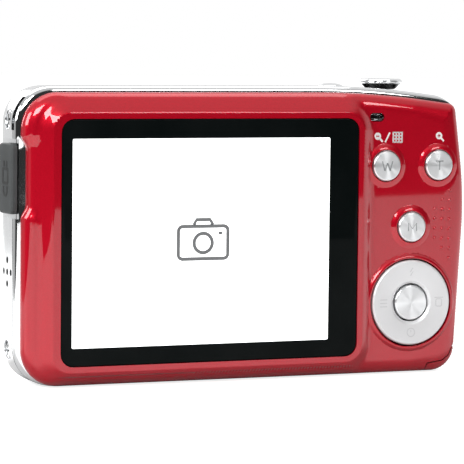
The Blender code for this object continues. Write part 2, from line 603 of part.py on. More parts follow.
def lens():
    at = (LENS_X, 0, LENS_Z)
    front, seat = LENS_FRONT + 0.25, LENS_FRONT + 1.3
    groove_r, ledge_r = WINDOW_R + 2.1, WINDOW_R - 1.0
    ring = [(LENS_R + FIT, PLATE_FRONT - FIT), (LENS_RING_R, PLATE_FRONT - FIT),
            (LENS_RING_R - 0.5, PLATE_FRONT - FIT - LENS_RING_T + 0.6),
            (LENS_RING_R - 1.4, PLATE_FRONT - FIT - LENS_RING_T), (LENS_R + FIT, PLATE_FRONT - FIT - LENS_RING_T)]
    turned("lens_base_ring", ring, "Y", "chrome", at, 40)
    flange = LENS_FRONT + 5.9
    barrel = [(LENS_R, LENS_REAR), (LENS_R, front + 0.5), (LENS_R - 0.5, front), (groove_r, front), (groove_r, seat),
              (WINDOW_R + FIT, seat), (WINDOW_R + FIT, seat + 1.0), (ledge_r, seat + 1.0), (ledge_r, flange),
              (LENS_R - LENS_WALL, flange), (LENS_R - LENS_WALL, LENS_REAR)]
    turned("lens_barrel", barrel, "Y", "black_plastic", at, 40)
    trim = [(WINDOW_R + 0.4, seat - FIT), (groove_r - 0.15, seat - FIT), (groove_r - 0.15, LENS_FRONT + 0.2),
            (groove_r - 0.4, LENS_FRONT), (WINDOW_R + 0.6, LENS_FRONT), (WINDOW_R + 0.4, LENS_FRONT + 0.5)]
    turned("lens_trim_ring", trim, "Y", "chrome", at, 40)
    rod("lens_window", WINDOW_R, seat + 0.15, seat + 0.15 + WINDOW_T, "Y", "clear_glass", at, ROUND)
    lens_element("front_lens_element", ledge_r - FIT, seat + 1.5, 2.6, at)
    carrier_front = flange + FIT
    carrier = [(4.5, carrier_front), (LENS_R - LENS_WALL - FIT, carrier_front), (LENS_R - LENS_WALL - FIT, LENS_REAR),
               (5.4, LENS_REAR), (5.4, carrier_front + 1.2), (4.5, carrier_front + 1.2)]
    turned("lens_carrier", carrier, "Y", "black_plastic", at)
    lens_element("rear_lens_element", 5.1, carrier_front + 1.6, 1.9, at)
    box("infrared_filter", (-4.5, 4.5), (LENS_REAR + 0.3, LENS_REAR + 0.6), (-3.6, 3.6), "clear_glass", at)
    box("image_sensor", (-5.5, 5.5), (LENS_REAR + 0.9, LENS_REAR + 2.1), (-4.6, 4.6), "black_glass", at)
    box("sensor_board", (-11.0, 11.0), (LENS_REAR + 2.4, LENS_REAR + 3.1), (-9.0, 9.0), "board_green", at)


def lens_element(name, radius, front, thickness, at):
    """A lens bulging at both faces."""
    steps = 4
    arc = [(radius * math.sin(a), (1 - math.cos(a)) * thickness * 0.6) for a in
           (k * math.pi / 2 / steps for k in range(steps + 1))]
    profile = [(r, front + h) for r, h in arc] + [(radius, front + thickness * 0.75), (0, front + thickness)]
    return turned(name, profile, "Y", "clear_glass", at)


def flash():
    at = (FLASH_X, 0, FLASH_Z)
    half_w, half_h = FLASH_W / 2, FLASH_H / 2
    front = PLATE_FRONT + 0.1
    box("flash_window", (-half_w, half_w), (front, front + 1.2), (-half_h, half_h), "clear_glass", at)
    reflector = box("flash_reflector", (-half_w + 0.3, half_w - 0.3), (front + 1.5, front + 5.2),
                    (-half_h + 0.2, half_h - 0.2), "chrome", at)
    cut(reflector, box("reflector_hollow", (-half_w + 0.8, half_w - 0.8), (front, front + 4.6),
                       (-half_h + 0.8, half_h - 0.8), None, at))
    rod("flash_tube", 0.9, -half_w + 1.3, half_w - 1.3, "X", "clear_glass", (FLASH_X, front + 3.2, FLASH_Z), 12)
    rod("flash_capacitor", 3.9, 10.0, 33.0, "Z", "battery_wrap", (LEFT - 11.0, FRONT + 5.9, 0))
    rod("self_timer_lamp", TIMER_R, PLATE_FRONT + 0.1, PLATE_FRONT + 3.5, "Y", "clear_glass", (TIMER_X, 0, TIMER_Z), 16)
    rod("microphone", 2.0, SHELL_INSIDE + FIT, SHELL_INSIDE + 1.8, "Y", "steel", (MIC_X, 0, MIC_Z), 16)


# Inside

def chassis():
    back, front = CHASSIS_TOP, CHASSIS_TOP - CHASSIS_T
    frame = box("chassis", (DOOR_INNER_X - 9.5, LEFT - 4.6), (front, back), (4.5, BODY_HEIGHT - 4.5), "steel")
    for name, z in SIDE_SCREWS.items():
        block = box(f"{name}_boss", (LEFT - 8, LEFT - WALL - 1.9), (SIDE_SCREW_Y - 2.0, back - 0.1), (z - 1.9, z + 1.9), None)
        boolean(frame, block, "UNION")
        hole(frame, f"{name}_bore", SCREW_R + 0.15, -SCREW_LEN - 0.5, 1, "X", (LEFT - SCREW_SUNK, SIDE_SCREW_Y, z), 10)
    for name, x in BASE_SCREWS.items():
        block = box(f"{name}_boss", (x - 2.2, x + 2.2), (TRIPOD_Y - 2.2, back - 0.1), (WALL + FIT, 6.5), None)
        boolean(frame, block, "UNION")
        hole(frame, f"{name}_bore", SCREW_R + 0.15, -1, SCREW_LEN + 0.5, "Z", (x, TRIPOD_Y, SCREW_SUNK), 10)
    return frame


def cross_recess(name, axis, at):
    """A plus-shaped prism through the face of a screw's head."""
    arm, half, deep = 1.0, 0.22, 0.4
    plus = [(arm, -half), (arm, half), (half, half), (half, arm), (-half, arm), (-half, half),
            (-arm, half), (-arm, -half), (-half, -half), (-half, -arm), (half, -arm), (half, -half)]
    points = [(h, a, b) if axis == "X" else (a, b, h) for h in (-deep, deep) for a, b in plus]
    count = len(plus)
    faces = [(i, (i + 1) % count, count + (i + 1) % count, count + i) for i in range(count)]
    faces += [tuple(range(count)), tuple(range(count, 2 * count))]
    return add_mesh(name, points, faces, None, at)


def screw(name, axis, way, at):
    """A pan-head screw with a cross recess. way is the direction in which it points."""
    shape = [(0, 0), (HEAD_R, 0), (HEAD_R, HEAD_T * way), (SCREW_R, HEAD_T * way), (SCREW_R, SCREW_LEN * way),
             (0, SCREW_LEN * way)]
    made = turned(name, shape, axis, "chrome", at, SMALL_ROUND)
    cut(made, cross_recess(f"{name}_recess", axis, at))
    return made


def screws():
    for name, z in SIDE_SCREWS.items():
        screw(name, "X", -1, (LEFT - SCREW_SUNK, SIDE_SCREW_Y, z))
    for name, x in BASE_SCREWS.items():
        screw(name, "Z", 1, (x, TRIPOD_Y, SCREW_SUNK))


def electronics():
    box("main_board", (RIGHT + 4.2, LENS_X - LENS_R - 1.0), (BOARD_FRONT, BOARD_BACK), (7.0, 46.0), "board_green")
    rod("speaker", SPEAKER_R, LEFT - WALL - 2.4, LEFT - WALL - 0.4, "X", "black_plastic", (0, SPEAKER_Y, SPEAKER_Z))
    box("battery", (-BATTERY_W / 2, BATTERY_W / 2), (BATTERY_FRONT, BATTERY_FRONT + BATTERY_T), (0, BATTERY_H),
        "battery_wrap", (BATTERY_X, 0, BATTERY_Z))
    soften(bpy.data.objects["battery"], 0.6)
    top = BATTERY_Z + BATTERY_H
    box("battery_contacts", (BATTERY_X - 6, BATTERY_X + 4), (BATTERY_FRONT + 1, BATTERY_FRONT + 4),
        (top + 0.4, top + 1.9), "brass")
    lever_x = BATTERY_X - BATTERY_W / 2
    pivot = (lever_x, BATTERY_FRONT + BATTERY_T - 1.1, BATTERY_Z + 7.7)
    latch = box("battery_latch", (-1.9, -0.7), (-1.0, 1.0), (-8.7, 1.0), "orange_plastic", pivot)
    boolean(latch, box("latch_hook", (-1.5, 0.6), (-1.0, 1.0), (-8.7, -8.0), None, pivot), "UNION")


def card_parts():
    half = CARD_W / 2
    card = loft("memory_card", [([(-half, 0), (half, 0), (half, CARD_H), (-half + 3, CARD_H), (-half, CARD_H - 3)], y)
                                for y in (CARD_FRONT, CARD_FRONT + CARD_T)], "battery_wrap", (CARD_X, 0, CARD_Z))
    end = CARD_H + CARD_TRAVEL + 0.4
    socket = box("card_socket", (-half - 0.8, half + 0.8), (BOARD_BACK + 0.15, CARD_FRONT + CARD_T + SOCKET_WALL),
                 (6.0, end + 0.6), "steel", (CARD_X, 0, CARD_Z))
    cut(socket, box("card_way", (-half - 0.25, half + 0.25), (BOARD_BACK - 3, CARD_FRONT + CARD_T + FIT),
                    (-3, end), None, (CARD_X, 0, CARD_Z)))
    return card


# Base

def battery_door():
    """Floor and corner cut from the same skin as the shell, with the end that shows at the back."""
    door = loft("battery_door", skin_loops(SHELL_RIM, SHELL_RIM), "satin_silver")
    keep_inside(door, door_region("door_shape", 0.0))
    cap = loft("door_cap", [(outline(COVER_CORNERS), SHELL_RIM - 1.0)] + cover_skin(), None)
    cap_shape = cap_region("door_cap_shape", 0.0, SHELL_RIM - 0.9, BACK + 2)
    keep_inside(cap, cap_shape)
    boolean(door, cap, "UNION")
    for name, y in (("front", PIN_FRONT + 0.4), ("rear", PIN_BACK - 2.4)):
        knuckle = box(f"{name}_knuckle", (-KNUCKLE_R, KNUCKLE_R - 0.05), (y, y + 2.0), (WALL - 0.3, HINGE_Z + KNUCKLE_R),
                      None, (HINGE_X, 0, 0))
        boolean(door, knuckle, "UNION")
    hole(door, "pin_bore", PIN_R + 0.15, PIN_FRONT - 0.3, PIN_BACK + 0.3, "Y", (HINGE_X, 0, HINGE_Z), 16)
    return door


def base_parts():
    battery_door()
    rod("door_hinge_pin", PIN_R, PIN_FRONT, PIN_BACK, "Y", "steel", (HINGE_X, 0, HINGE_Z), 16)
    socket = [(0, TRIPOD_H), (0, TRIPOD_DEPTH), (TRIPOD_BORE_R, TRIPOD_DEPTH), (TRIPOD_BORE_R, 0.05), (TRIPOD_R, 0.05),
              (TRIPOD_R, TRIPOD_H)]
    turned("tripod_socket", socket[1:] + socket[:1], "Z", "steel", (TRIPOD_X, TRIPOD_Y, 0))


# +X side

def usb_parts():
    """Rubber cover with a plug, hinged at its lower end, and the socket behind it."""
    low = USB_Z - USB_H / 2
    at = (LEFT + 0.25, 0, low - 0.2)
    floor = LEFT - SCOOP_DEPTH
    cover = box("usb_cover", (FIT, FIT + USB_T), (USB_FRONT - SHELL_RIM, USB_BACK - SHELL_RIM), (low, low + USB_H),
                "grey_rubber", (0, 0, 0))
    shape = cover.data
    shape.transform(Matrix.Translation(Vector((floor - at[0], SHELL_RIM, -at[2])) * MM)
                    @ Matrix.Rotation(USB_LEAN, 4, "Z"))
    cover.location = Vector(at) * MM
    plug = box("usb_plug", (LEFT - PLUG_DEPTH, LEFT + 0.2), (PLUG_Y - PLUG_W / 2, PLUG_Y + PLUG_W / 2),
               (USB_Z - PLUG_H / 2, USB_Z + PLUG_H / 2), None)
    boolean(cover, plug, "UNION")
    back = LEFT - PLUG_DEPTH - 0.4
    socket = box("usb_socket", (back - 6.0, back), (PLUG_Y - 1.9, PLUG_Y + 1.9), (USB_Z - 4.0, USB_Z + 4.0), "steel")
    cut(socket, box("usb_mouth", (back - 4.5, back + 1), (PLUG_Y - 1.3, PLUG_Y + 1.3), (USB_Z - 3.4, USB_Z + 3.4), None))
    bar_x, bar_y, bar_z = strap_bar_place()
    rod("strap_bar", STRAP_BAR_R, STRAP_FRONT - 0.35, STRAP_BACK - 0.2, "Y", "chrome", (bar_x, bar_y, bar_z), 12)


clear_scene()
front_shell()
trim_ring()
back_cover()
screen_parts()
push_button("zoom_out_button", ZOOM_OUT)
push_button("zoom_in_button", ZOOM_IN)
push_button("mode_button", MODE)
navigation()
button_layers()
top_controls()
front_plate()
lens()
flash()
chassis()
screws()
electronics()
card_parts()
base_parts()
usb_parts()
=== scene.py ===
from math import pi, radians
import bpy
import bmesh
import numpy as np
from mathutils import Matrix, Vector
from mathutils.geometry import delaunay_2d_cdt


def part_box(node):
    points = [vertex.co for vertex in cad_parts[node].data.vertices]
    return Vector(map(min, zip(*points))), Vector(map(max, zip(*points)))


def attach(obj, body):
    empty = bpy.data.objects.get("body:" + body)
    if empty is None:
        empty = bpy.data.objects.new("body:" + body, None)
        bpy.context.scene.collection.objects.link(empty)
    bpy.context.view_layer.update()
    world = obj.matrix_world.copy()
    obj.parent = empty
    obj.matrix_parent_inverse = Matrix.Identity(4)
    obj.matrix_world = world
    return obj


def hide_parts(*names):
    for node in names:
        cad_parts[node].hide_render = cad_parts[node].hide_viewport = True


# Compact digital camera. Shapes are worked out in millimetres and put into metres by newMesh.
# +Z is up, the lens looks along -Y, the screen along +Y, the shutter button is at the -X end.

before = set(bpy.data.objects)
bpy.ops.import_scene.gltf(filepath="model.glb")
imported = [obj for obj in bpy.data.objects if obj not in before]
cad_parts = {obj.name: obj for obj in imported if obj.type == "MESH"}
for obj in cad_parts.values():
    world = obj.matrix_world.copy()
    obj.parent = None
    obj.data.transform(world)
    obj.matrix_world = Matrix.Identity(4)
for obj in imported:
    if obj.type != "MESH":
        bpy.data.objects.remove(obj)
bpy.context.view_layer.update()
mm = 0.001


def boxMm(node):
    low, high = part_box(node)
    return np.array(low) / mm, np.array(high) / mm


def centreMm(node):
    low, high = boxMm(node)
    return (low + high) / 2


shellLow, shellHigh = boxMm("front_shell")
coverHigh = boxMm("back_cover")[1]
glassLow, glassHigh = boxMm("screen_glass")
half = shellHigh[0]              # half the body's width
bodyTop = shellHigh[2] - 0.08
front, rim = shellLow[1], shellHigh[1]
back = coverHigh[1]
panel = back - 1.5               # surface around the buttons
coverEdge = panel - 2.2          # where the red cover ends
wall = 1.3

# Outline corners of the silver shell and of the red cover: x, z, radius
shellCorners = np.array([
    (half, 0, 7.8), (half, bodyTop, 7.5), (-half + 20.5, bodyTop + 0.1, 180), (-half + 1.6, bodyTop - 2.3, 6),
    (-half + 0.15, 0.62 * bodyTop, 80), (-half + 2.1, 0, 5)])
coverCorners = np.array([
    (coverHigh[0], 0.05, 7.3), (coverHigh[0], coverHigh[2], 7.3), (-half + 20.5, coverHigh[2], 180),
    (-half + 2.3, coverHigh[2] - 2.4, 1.8), (-half - 0.15, 0.62 * bodyTop, 80), (-half + 2, 0.05, 5.2)])
shellRound = np.array([4.5, 2.6, 2.6, 4.5, 4.5, 1.5])    # how far the front face is set in from each edge


# Shape helpers

def turnLeft(v):
    return np.stack([-v[..., 1], v[..., 0]], -1)


def roundOutline(corners, inset=0.0, steps=16):
    # Each edge is moved inwards by inset, neighbouring edges are intersected, and every corner becomes an
    # arc: centre + R(turn * t) * (first - centre) with t from 0 to 1.
    points = corners[:, :2]
    way = np.roll(points, -1, 0) - points
    way = way / np.linalg.norm(way, axis=1, keepdims=True)
    inset = np.broadcast_to(inset, len(corners)).astype(float)
    start = points + turnLeft(way) * inset[:, None]
    wayBefore, startBefore = np.roll(way, 1, 0), np.roll(start, 1, 0)
    cross = wayBefore[:, 0] * way[:, 1] - wayBefore[:, 1] * way[:, 0]
    gap = start - startBefore
    along = (gap[:, 0] * way[:, 1] - gap[:, 1] * way[:, 0]) / cross
    corner = startBefore + wayBefore * along[:, None]
    turn = np.arctan2(cross, (wayBefore * way).sum(1))
    radius = np.maximum(corners[:, 2] - np.maximum(np.roll(inset, 1), inset), 0.3)
    first = corner - wayBefore * (radius * np.tan(turn / 2))[:, None]
    centre = first + turnLeft(wayBefore) * radius[:, None]
    angle = turn[:, None] * np.linspace(0, 1, steps + 1)[None, :]
    arm = (first - centre)[:, None, :]
    spun = arm * np.cos(angle)[..., None] + turnLeft(arm) * np.sin(angle)[..., None]
    return (centre[:, None, :] + spun).reshape(-1, 2)


def resample(loop, count):
    # The same closed loop with count points evenly spaced along it.
    closed = np.vstack([loop, loop[:1]])
    length = np.concatenate([[0], np.cumsum(np.linalg.norm(np.diff(closed, axis=0), axis=1))])
    at = np.linspace(0, length[-1], count, endpoint=False)
    return np.stack([np.interp(at, length, closed[:, k]) for k in (0, 1)], -1)


def roundedRect(x0, x1, z0, z1, radius, steps=12):
    return roundOutline(np.array([(x1, z0, radius), (x1, z1, radius), (x0, z1, radius), (x0, z0, radius)]), 0,
                        steps)


def softPath(path, steps=5):
    # An open profile of (radius, height, corner radius) rows. Each inner corner is a quadratic curve
    # (1-t)^2 a + 2t(1-t) corner + t^2 b between points set back along both legs.
    path = np.array(path, float)
    inner = path[1:-1]
    before, after = path[:-2, :2] - inner[:, :2], path[2:, :2] - inner[:, :2]
    longest = np.minimum(np.linalg.norm(before, axis=1), np.linalg.norm(after, axis=1)) * 0.5
    reach = np.minimum(inner[:, 2], longest)[:, None]
    a = inner[:, :2] + before / np.linalg.norm(before, axis=1, keepdims=True) * reach
    b = inner[:, :2] + after / np.linalg.norm(after, axis=1, keepdims=True) * reach
    t = np.linspace(0, 1, steps + 1)[None, :, None]
    bends = (1 - t) ** 2 * a[:, None] + 2 * t * (1 - t) * inner[:, None, :2] + t ** 2 * b[:, None]
    return np.vstack([path[:1, :2], bends.reshape(-1, 2), path[-1:, :2]])


def gridFaces(rows, columns, closeRows=False):
    # Quads between neighbouring rows of a grid whose columns wrap round.
    r = np.arange(rows if closeRows else rows - 1)[:, None]
    c = np.arange(columns)[None, :]
    right = (c + 1) % columns
    below = (r + 1) % rows
    quads = np.stack([r * columns + c, r * columns + right, below * columns + right, below * columns + c], -1)
    return quads.reshape(-1, 4)


def newMesh(name, points, faces):
    mesh = bpy.data.meshes.new(name)
    mesh.from_pydata([tuple(p) for p in (np.asarray(points) * mm).tolist()], [], [list(f) for f in faces])
    mesh.update()
    return mesh


def outwards(mesh, merge=None):
    # Faces turned outwards, doubles merged first where merge gives a distance.
    work = bmesh.new()
    work.from_mesh(mesh)
    if merge:
        bmesh.ops.remove_doubles(work, verts=work.verts, dist=merge)
        bmesh.ops.dissolve_degenerate(work, edges=work.edges, dist=merge)
    bmesh.ops.recalc_face_normals(work, faces=work.faces)
    if merge and work.calc_volume(signed=True) < 0:
        bmesh.ops.reverse_faces(work, faces=work.faces)
    work.to_mesh(mesh)
    work.free()


def tidyMesh(mesh, merge=1e-7):
    outwards(mesh, merge)


def addPiece(name, mesh, look, body, *replaced, smooth=32.0, slot=None):
    piece = bpy.data.objects.new(name, mesh)
    bpy.context.scene.collection.objects.link(piece)
    if smooth:
        mesh.shade_smooth()
        mesh.set_sharp_from_angle(angle=radians(smooth))
    mesh.materials.clear()
    mesh.materials.append(look)
    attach(piece, body)
    if replaced:
        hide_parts(*replaced)
    if slot or replaced:
        slot or replaced[0]
    return piece


def turnedMesh(name, path, at, axis="Y", segments=72, closed=False, steps=5):
    # A profile (r, h) carried round an axis: (r cos a, r sin a, h), put on the named axis at a point.
    profile = softPath(path, steps)
    angle = np.linspace(0, 2 * pi, segments, endpoint=False)
    r, h = profile[:, 0][:, None], profile[:, 1][:, None]
    across, up = r * np.cos(angle), r * np.sin(angle)
    along = np.broadcast_to(h, across.shape)
    order = {"X": (along, across, up), "Y": (across, along, up), "Z": (across, up, along)}[axis]
    grid = np.stack(order, -1) + np.asarray(at, float)
    mesh = newMesh(name, grid.reshape(-1, 3), gridFaces(len(profile), segments, closed))
    tidyMesh(mesh)
    return mesh


def loftMesh(name, loops, order=(0, 2, 1), closed=False):
    # Flat closed loops at their own height, skinned from one to the next. Order says where across, up and
    # height go: (0, 2, 1) puts the height on y and (1, 2, 0) on x. Closed joins the last loop to the first.
    grid = np.stack([np.column_stack([loop, np.full(len(loop), height)]) for loop, height in loops])
    rows, columns = grid.shape[:2]
    faces = gridFaces(rows, columns, closed).tolist()
    if not closed:
        faces += [list(range(columns)), list(range((rows - 1) * columns, rows * columns))]
    points = np.empty((rows * columns, 3))
    points[:, order] = grid.reshape(-1, 3)
    mesh = newMesh(name, points, faces)
    tidyMesh(mesh)
    return mesh


def boxMesh(name, x, y, z):
    points = [(a, b, c) for a in x for b in y for c in z]
    faces = [(0, 1, 3, 2), (4, 6, 7, 5), (0, 4, 5, 1), (2, 3, 7, 6), (0, 2, 6, 4), (1, 5, 7, 3)]
    mesh = newMesh(name, points, faces)
    tidyMesh(mesh)
    return mesh


def carve(mesh, cutters, operation="DIFFERENCE"):
    # Takes each cutter mesh from a mesh, or keeps what is inside it, and returns the finished mesh.
    worker = bpy.data.objects.new("carveWork", mesh)
    bpy.context.scene.collection.objects.link(worker)
    tools = []
    for cutter in cutters:
        tool = bpy.data.objects.new("carveTool", cutter)
        bpy.context.scene.collection.objects.link(tool)
        modifier = worker.modifiers.new("carve", "BOOLEAN")
        modifier.operation = operation
        modifier.object = tool
        modifier.solver = "EXACT"
        tools.append(tool)
    bpy.context.view_layer.update()
    done = bpy.data.meshes.new_from_object(worker.evaluated_get(bpy.context.evaluated_depsgraph_get()))
    done.name = mesh.name
    for tool in tools + [worker]:
        bpy.data.objects.remove(tool)
    return done


def insideLoop(points, loop):
    # Even-odd test: how many edges of the loop a ray towards +x crosses.
    x, z = points[:, 0][:, None], points[:, 1][:, None]
    a, b = loop, np.roll(loop, -1, 0)
    spans = (a[None, :, 1] > z) != (b[None, :, 1] > z)
    rise = np.where(b[:, 1] == a[:, 1], 1e-12, b[:, 1] - a[:, 1])
    crossing = a[None, :, 0] + (z - a[None, :, 1]) / rise[None, :] * (b[:, 0] - a[:, 0])[None, :]
    return (spans & (crossing > x)).sum(1) % 2 == 1


def loopDistance(points, loop):
    # Shortest distance to the loop's edges: |p - a - (b - a) t|, t held between 0 and 1.
    a, b = loop[None], np.roll(loop, -1, 0)[None]
    edge = b - a
    p = points[:, None, :]
    t = np.clip(((p - a) * edge).sum(-1) / (edge ** 2).sum(-1), 0, 1)
    return np.linalg.norm(p - a - edge * t[..., None], axis=-1).min(1)


def rectDistance(points, x0, x1, z0, z1, radius):
    # Signed distance to a rounded rectangle, negative inside.
    centre = np.array([(x0 + x1) / 2, (z0 + z1) / 2])
    size = np.array([(x1 - x0) / 2, (z1 - z0) / 2]) - radius
    q = np.abs(points - centre) - size
    outside = np.linalg.norm(np.maximum(q, 0), axis=1)
    return outside + np.minimum(q.max(1), 0) - radius


def circle(x, z, radius, count=72):
    angle = np.linspace(0, 2 * pi, count, endpoint=False)
    return np.stack([x + radius * np.cos(angle), z + radius * np.sin(angle)], -1)


def softMin(a, b, k):
    # The smaller of a and b, with the corner between them rounded over a width of k.
    h = np.clip(0.5 + 0.5 * (b - a) / k, 0, 1)
    return b + (a - b) * h - k * h * (1 - h)


def softMax(a, b, k):
    return -softMin(-a, -b, k)


# Materials

def newLook(name, **values):
    look = bpy.data.materials.new(name)
    look.use_nodes = True
    shader = look.node_tree.nodes["Principled BSDF"]
    setInputs(look.node_tree, shader, values)
    return look, look.node_tree, shader


def setInputs(tree, node, inputs):
    # A value is set on its socket; another node's output is linked to it.
    for key, value in inputs.items():
        if isinstance(value, bpy.types.NodeSocket):
            tree.links.new(value, node.inputs[key])
        else:
            node.inputs[key].default_value = value


def addNode(tree, kind, inputs=(), **settings):
    node = tree.nodes.new(kind)
    for key, value in settings.items():
        setattr(node, key, value)
    setInputs(tree, node, dict(inputs))
    return node


def objectCoords(tree, scale=(1, 1, 1), location=(0, 0, 0)):
    coords = addNode(tree, "ShaderNodeTexCoord").outputs["Object"]
    return addNode(tree, "ShaderNodeMapping",
                   {"Vector": coords, "Scale": scale, "Location": location}).outputs["Vector"]


def colourRamp(tree, fac, low, high, start=0.0, end=1.0):
    ramp = addNode(tree, "ShaderNodeValToRGB", {"Fac": fac})
    for element, position, colour in zip(ramp.color_ramp.elements, (start, end), (low, high)):
        element.position, element.color = position, (*colour, 1)
    return ramp.outputs["Color"]


def mapRange(tree, value, start, end, low, high, **settings):
    return addNode(tree, "ShaderNodeMapRange", {
        "Value": value, "From Min": start, "From Max": end, "To Min": low, "To Max": high},
        **settings).outputs["Result"]


def maths(tree, operation, first, second):
    return addNode(tree, "ShaderNodeMath", {0: first, 1: second}, operation=operation).outputs["Value"]


noiseSpread = (0.3, 0.7)    # the part of the noise that is stretched between the two values


def noiseInto(tree, shader, socket, vector, scale, low, high):
    # Noise between two values (or two colours) on one of the shader's sockets.
    noise = addNode(tree, "ShaderNodeTexNoise",
                    {"Vector": vector, "Scale": scale, "Detail": 3.0}).outputs["Fac"]
    between = colourRamp(tree, noise, low, high, *noiseSpread) if isinstance(low, tuple) else mapRange(
        tree, noise, *noiseSpread, low, high)
    tree.links.new(between, shader.inputs[socket])
    return noise


def bumpInto(tree, shader, height, strength, distance):
    bump = addNode(tree, "ShaderNodeBump", {"Height": height, "Strength": strength, "Distance": distance})
    tree.links.new(bump.outputs["Normal"], shader.inputs["Normal"])


paint = {"deep": (0.45, 0.0, 0.011), "bright": (0.53, 0.0005, 0.015), "flakeSize": 7000.0, "metallic": 0.4,
         "coatRough": 0.025, "coatIor": 1.6, "grain": 3600.0, "rough": (0.3, 0.36)}


def redPaint():
    # Metallic red under a clear coat: fine flakes change the colour and the roughness a little.
    look, tree, shader = newLook("redPaint", **{
        "Metallic": paint["metallic"], "Coat Weight": 1.0, "Coat Roughness": paint["coatRough"],
        "Coat IOR": paint["coatIor"], "Specular IOR Level": 0.1})
    vector = objectCoords(tree)
    flakes = addNode(tree, "ShaderNodeTexVoronoi",
                     {"Vector": vector, "Scale": paint["flakeSize"]}).outputs["Color"]
    tree.links.new(colourRamp(tree, flakes, paint["deep"], paint["bright"]), shader.inputs["Base Color"])
    noiseInto(tree, shader, "Roughness", vector, paint["grain"], *paint["rough"])
    return look


def metalLook(name, colour, rough, grain=1400.0, stretch=(1, 1, 1), metallic=1.0, depth=0.000002):
    # Plated or polished metal: roughness and height vary along a faint grain.
    look, tree, shader = newLook(name, **{"Base Color": (*colour, 1), "Metallic": metallic})
    vector = objectCoords(tree, stretch)
    noise = noiseInto(tree, shader, "Roughness", vector, grain, rough * 0.8, rough * 1.25)
    bumpInto(tree, shader, noise, 0.15, depth)
    return look


def spunLook(name, at, axis, rough, colour=(0.86, 0.87, 0.88), rings=550.0, aniso=0.9):
    # Turned metal face: anisotropic round its axis, with rings as fine as a lathe leaves.
    look, tree, shader = newLook(name, **{
        "Base Color": (*colour, 1), "Metallic": 1.0, "Roughness": rough, "Anisotropic": aniso,
        "Anisotropic Rotation": 0.25})
    vector = objectCoords(tree, (1, 1, 1), [-c * mm for c in at])
    turning = addNode(tree, "ShaderNodeTexWave",
                      {"Vector": vector, "Scale": rings, "Distortion": 0.4, "Detail": 1.0},
                      wave_type="RINGS", rings_direction=axis)
    bumpInto(tree, shader, turning.outputs["Fac"], 0.12, 0.00001)
    tangent = addNode(tree, "ShaderNodeTangent", direction_type="RADIAL", axis=axis)
    tree.links.new(tangent.outputs["Tangent"], shader.inputs["Tangent"])
    return look


def mouldedLook(name, low, high, rough=0.5, grain=2500.0, depth=0.00003, **more):
    # Moulded plastic or rubber: mottled colour with a fine sparked grain.
    look, tree, shader = newLook(name, Roughness=rough, **more)
    vector = objectCoords(tree)
    noiseInto(tree, shader, "Base Color", vector, grain / 8, low, high)
    grains = addNode(tree, "ShaderNodeTexNoise", {"Vector": vector, "Scale": grain, "Detail": 2.0})
    bumpInto(tree, shader, grains.outputs["Fac"], 0.5, depth)
    return look


def glossLook(name, low, high, rough=0.05, **more):
    # Gloss plastic or glass: nearly even colour, faint smears in the roughness.
    look, tree, shader = newLook(name, **more)
    vector = objectCoords(tree)
    noiseInto(tree, shader, "Base Color", vector, 90.0, low, high)
    noiseInto(tree, shader, "Roughness", vector, 160.0, rough * 0.7, rough * 1.4)
    return look


def litLook():
    # The lit panel: white light through a fine grid of cells.
    look, tree, shader = newLook("litPanel", **{
        "Roughness": 0.2, "Emission Strength": 1.15, "Coat Weight": 0.3})
    cells = addNode(tree, "ShaderNodeTexBrick", {
        "Vector": objectCoords(tree), "Color1": (0.96, 0.975, 0.98, 1), "Color2": (0.985, 0.99, 0.985, 1),
        "Mortar": (0.94, 0.95, 0.955, 1),
        "Scale": 6000.0, "Mortar Size": 0.05}, offset=0.0)
    setInputs(tree, shader, {"Base Color": cells.outputs["Color"], "Emission Color": cells.outputs["Color"]})
    return look


red = redPaint()
shellSilver = metalLook("shellSilver", (0.86, 0.87, 0.88), 0.13, stretch=(1, 6, 1))
chrome = metalLook("chrome", (0.9, 0.91, 0.92), 0.05)
ringSilver = metalLook("ringSilver", (0.8, 0.8, 0.81), 0.42, grain=3000.0, metallic=0.6)
steel = metalLook("steel", (0.55, 0.55, 0.57), 0.3)
brass = metalLook("brass", (0.72, 0.55, 0.25), 0.28)
blackPlastic = mouldedLook("blackPlastic", (0.012, 0.012, 0.013), (0.022, 0.022, 0.024), 0.42)
blackGloss = glossLook("blackGloss", (0.003, 0.0045, 0.0045), (0.0055, 0.007, 0.007), 0.04,
                       **{"Specular IOR Level": 0.035})
rubber = mouldedLook("rubber", (0.034, 0.038, 0.039), (0.048, 0.053, 0.054), 0.6)
rubberDark = mouldedLook("rubberDark", (0.012, 0.013, 0.013), (0.018, 0.02, 0.02), 0.6)
litPanel = litLook()
screenMark = mouldedLook("screenMark", (0.17, 0.175, 0.18), (0.2, 0.205, 0.21), 0.4, depth=0.000005)
whiteInk = mouldedLook("whiteInk", (0.83, 0.8, 0.79), (0.9, 0.88, 0.87), 0.45, depth=0.000005)
etched = mouldedLook("etched", (0.36, 0.37, 0.38), (0.42, 0.43, 0.44), 0.35, depth=0.000005, Metallic=0.8)
faintInk = mouldedLook("faintInk", (0.62, 0.62, 0.63), (0.68, 0.68, 0.69), 0.4, depth=0.000005)
clearGlass = glossLook("clearGlass", (0.9, 0.93, 0.94), (0.96, 0.98, 0.98), 0.02,
                       **{"Transmission Weight": 1.0, "IOR": 1.5})
lensCoat = glossLook("lensCoat", (0.02, 0.012, 0.05), (0.03, 0.03, 0.07), 0.03,
                     **{"Coat Weight": 1.0, "Coat Tint": (0.75, 0.6, 1.0, 1)})
boardGreen = mouldedLook("boardGreen", (0.01, 0.09, 0.035), (0.015, 0.13, 0.05), 0.4, 900.0)
wrapBlue = mouldedLook("wrapBlue", (0.03, 0.04, 0.12), (0.045, 0.055, 0.15), 0.45)
orangePlastic = mouldedLook("orangePlastic", (0.6, 0.16, 0.02), (0.7, 0.21, 0.03), 0.45)
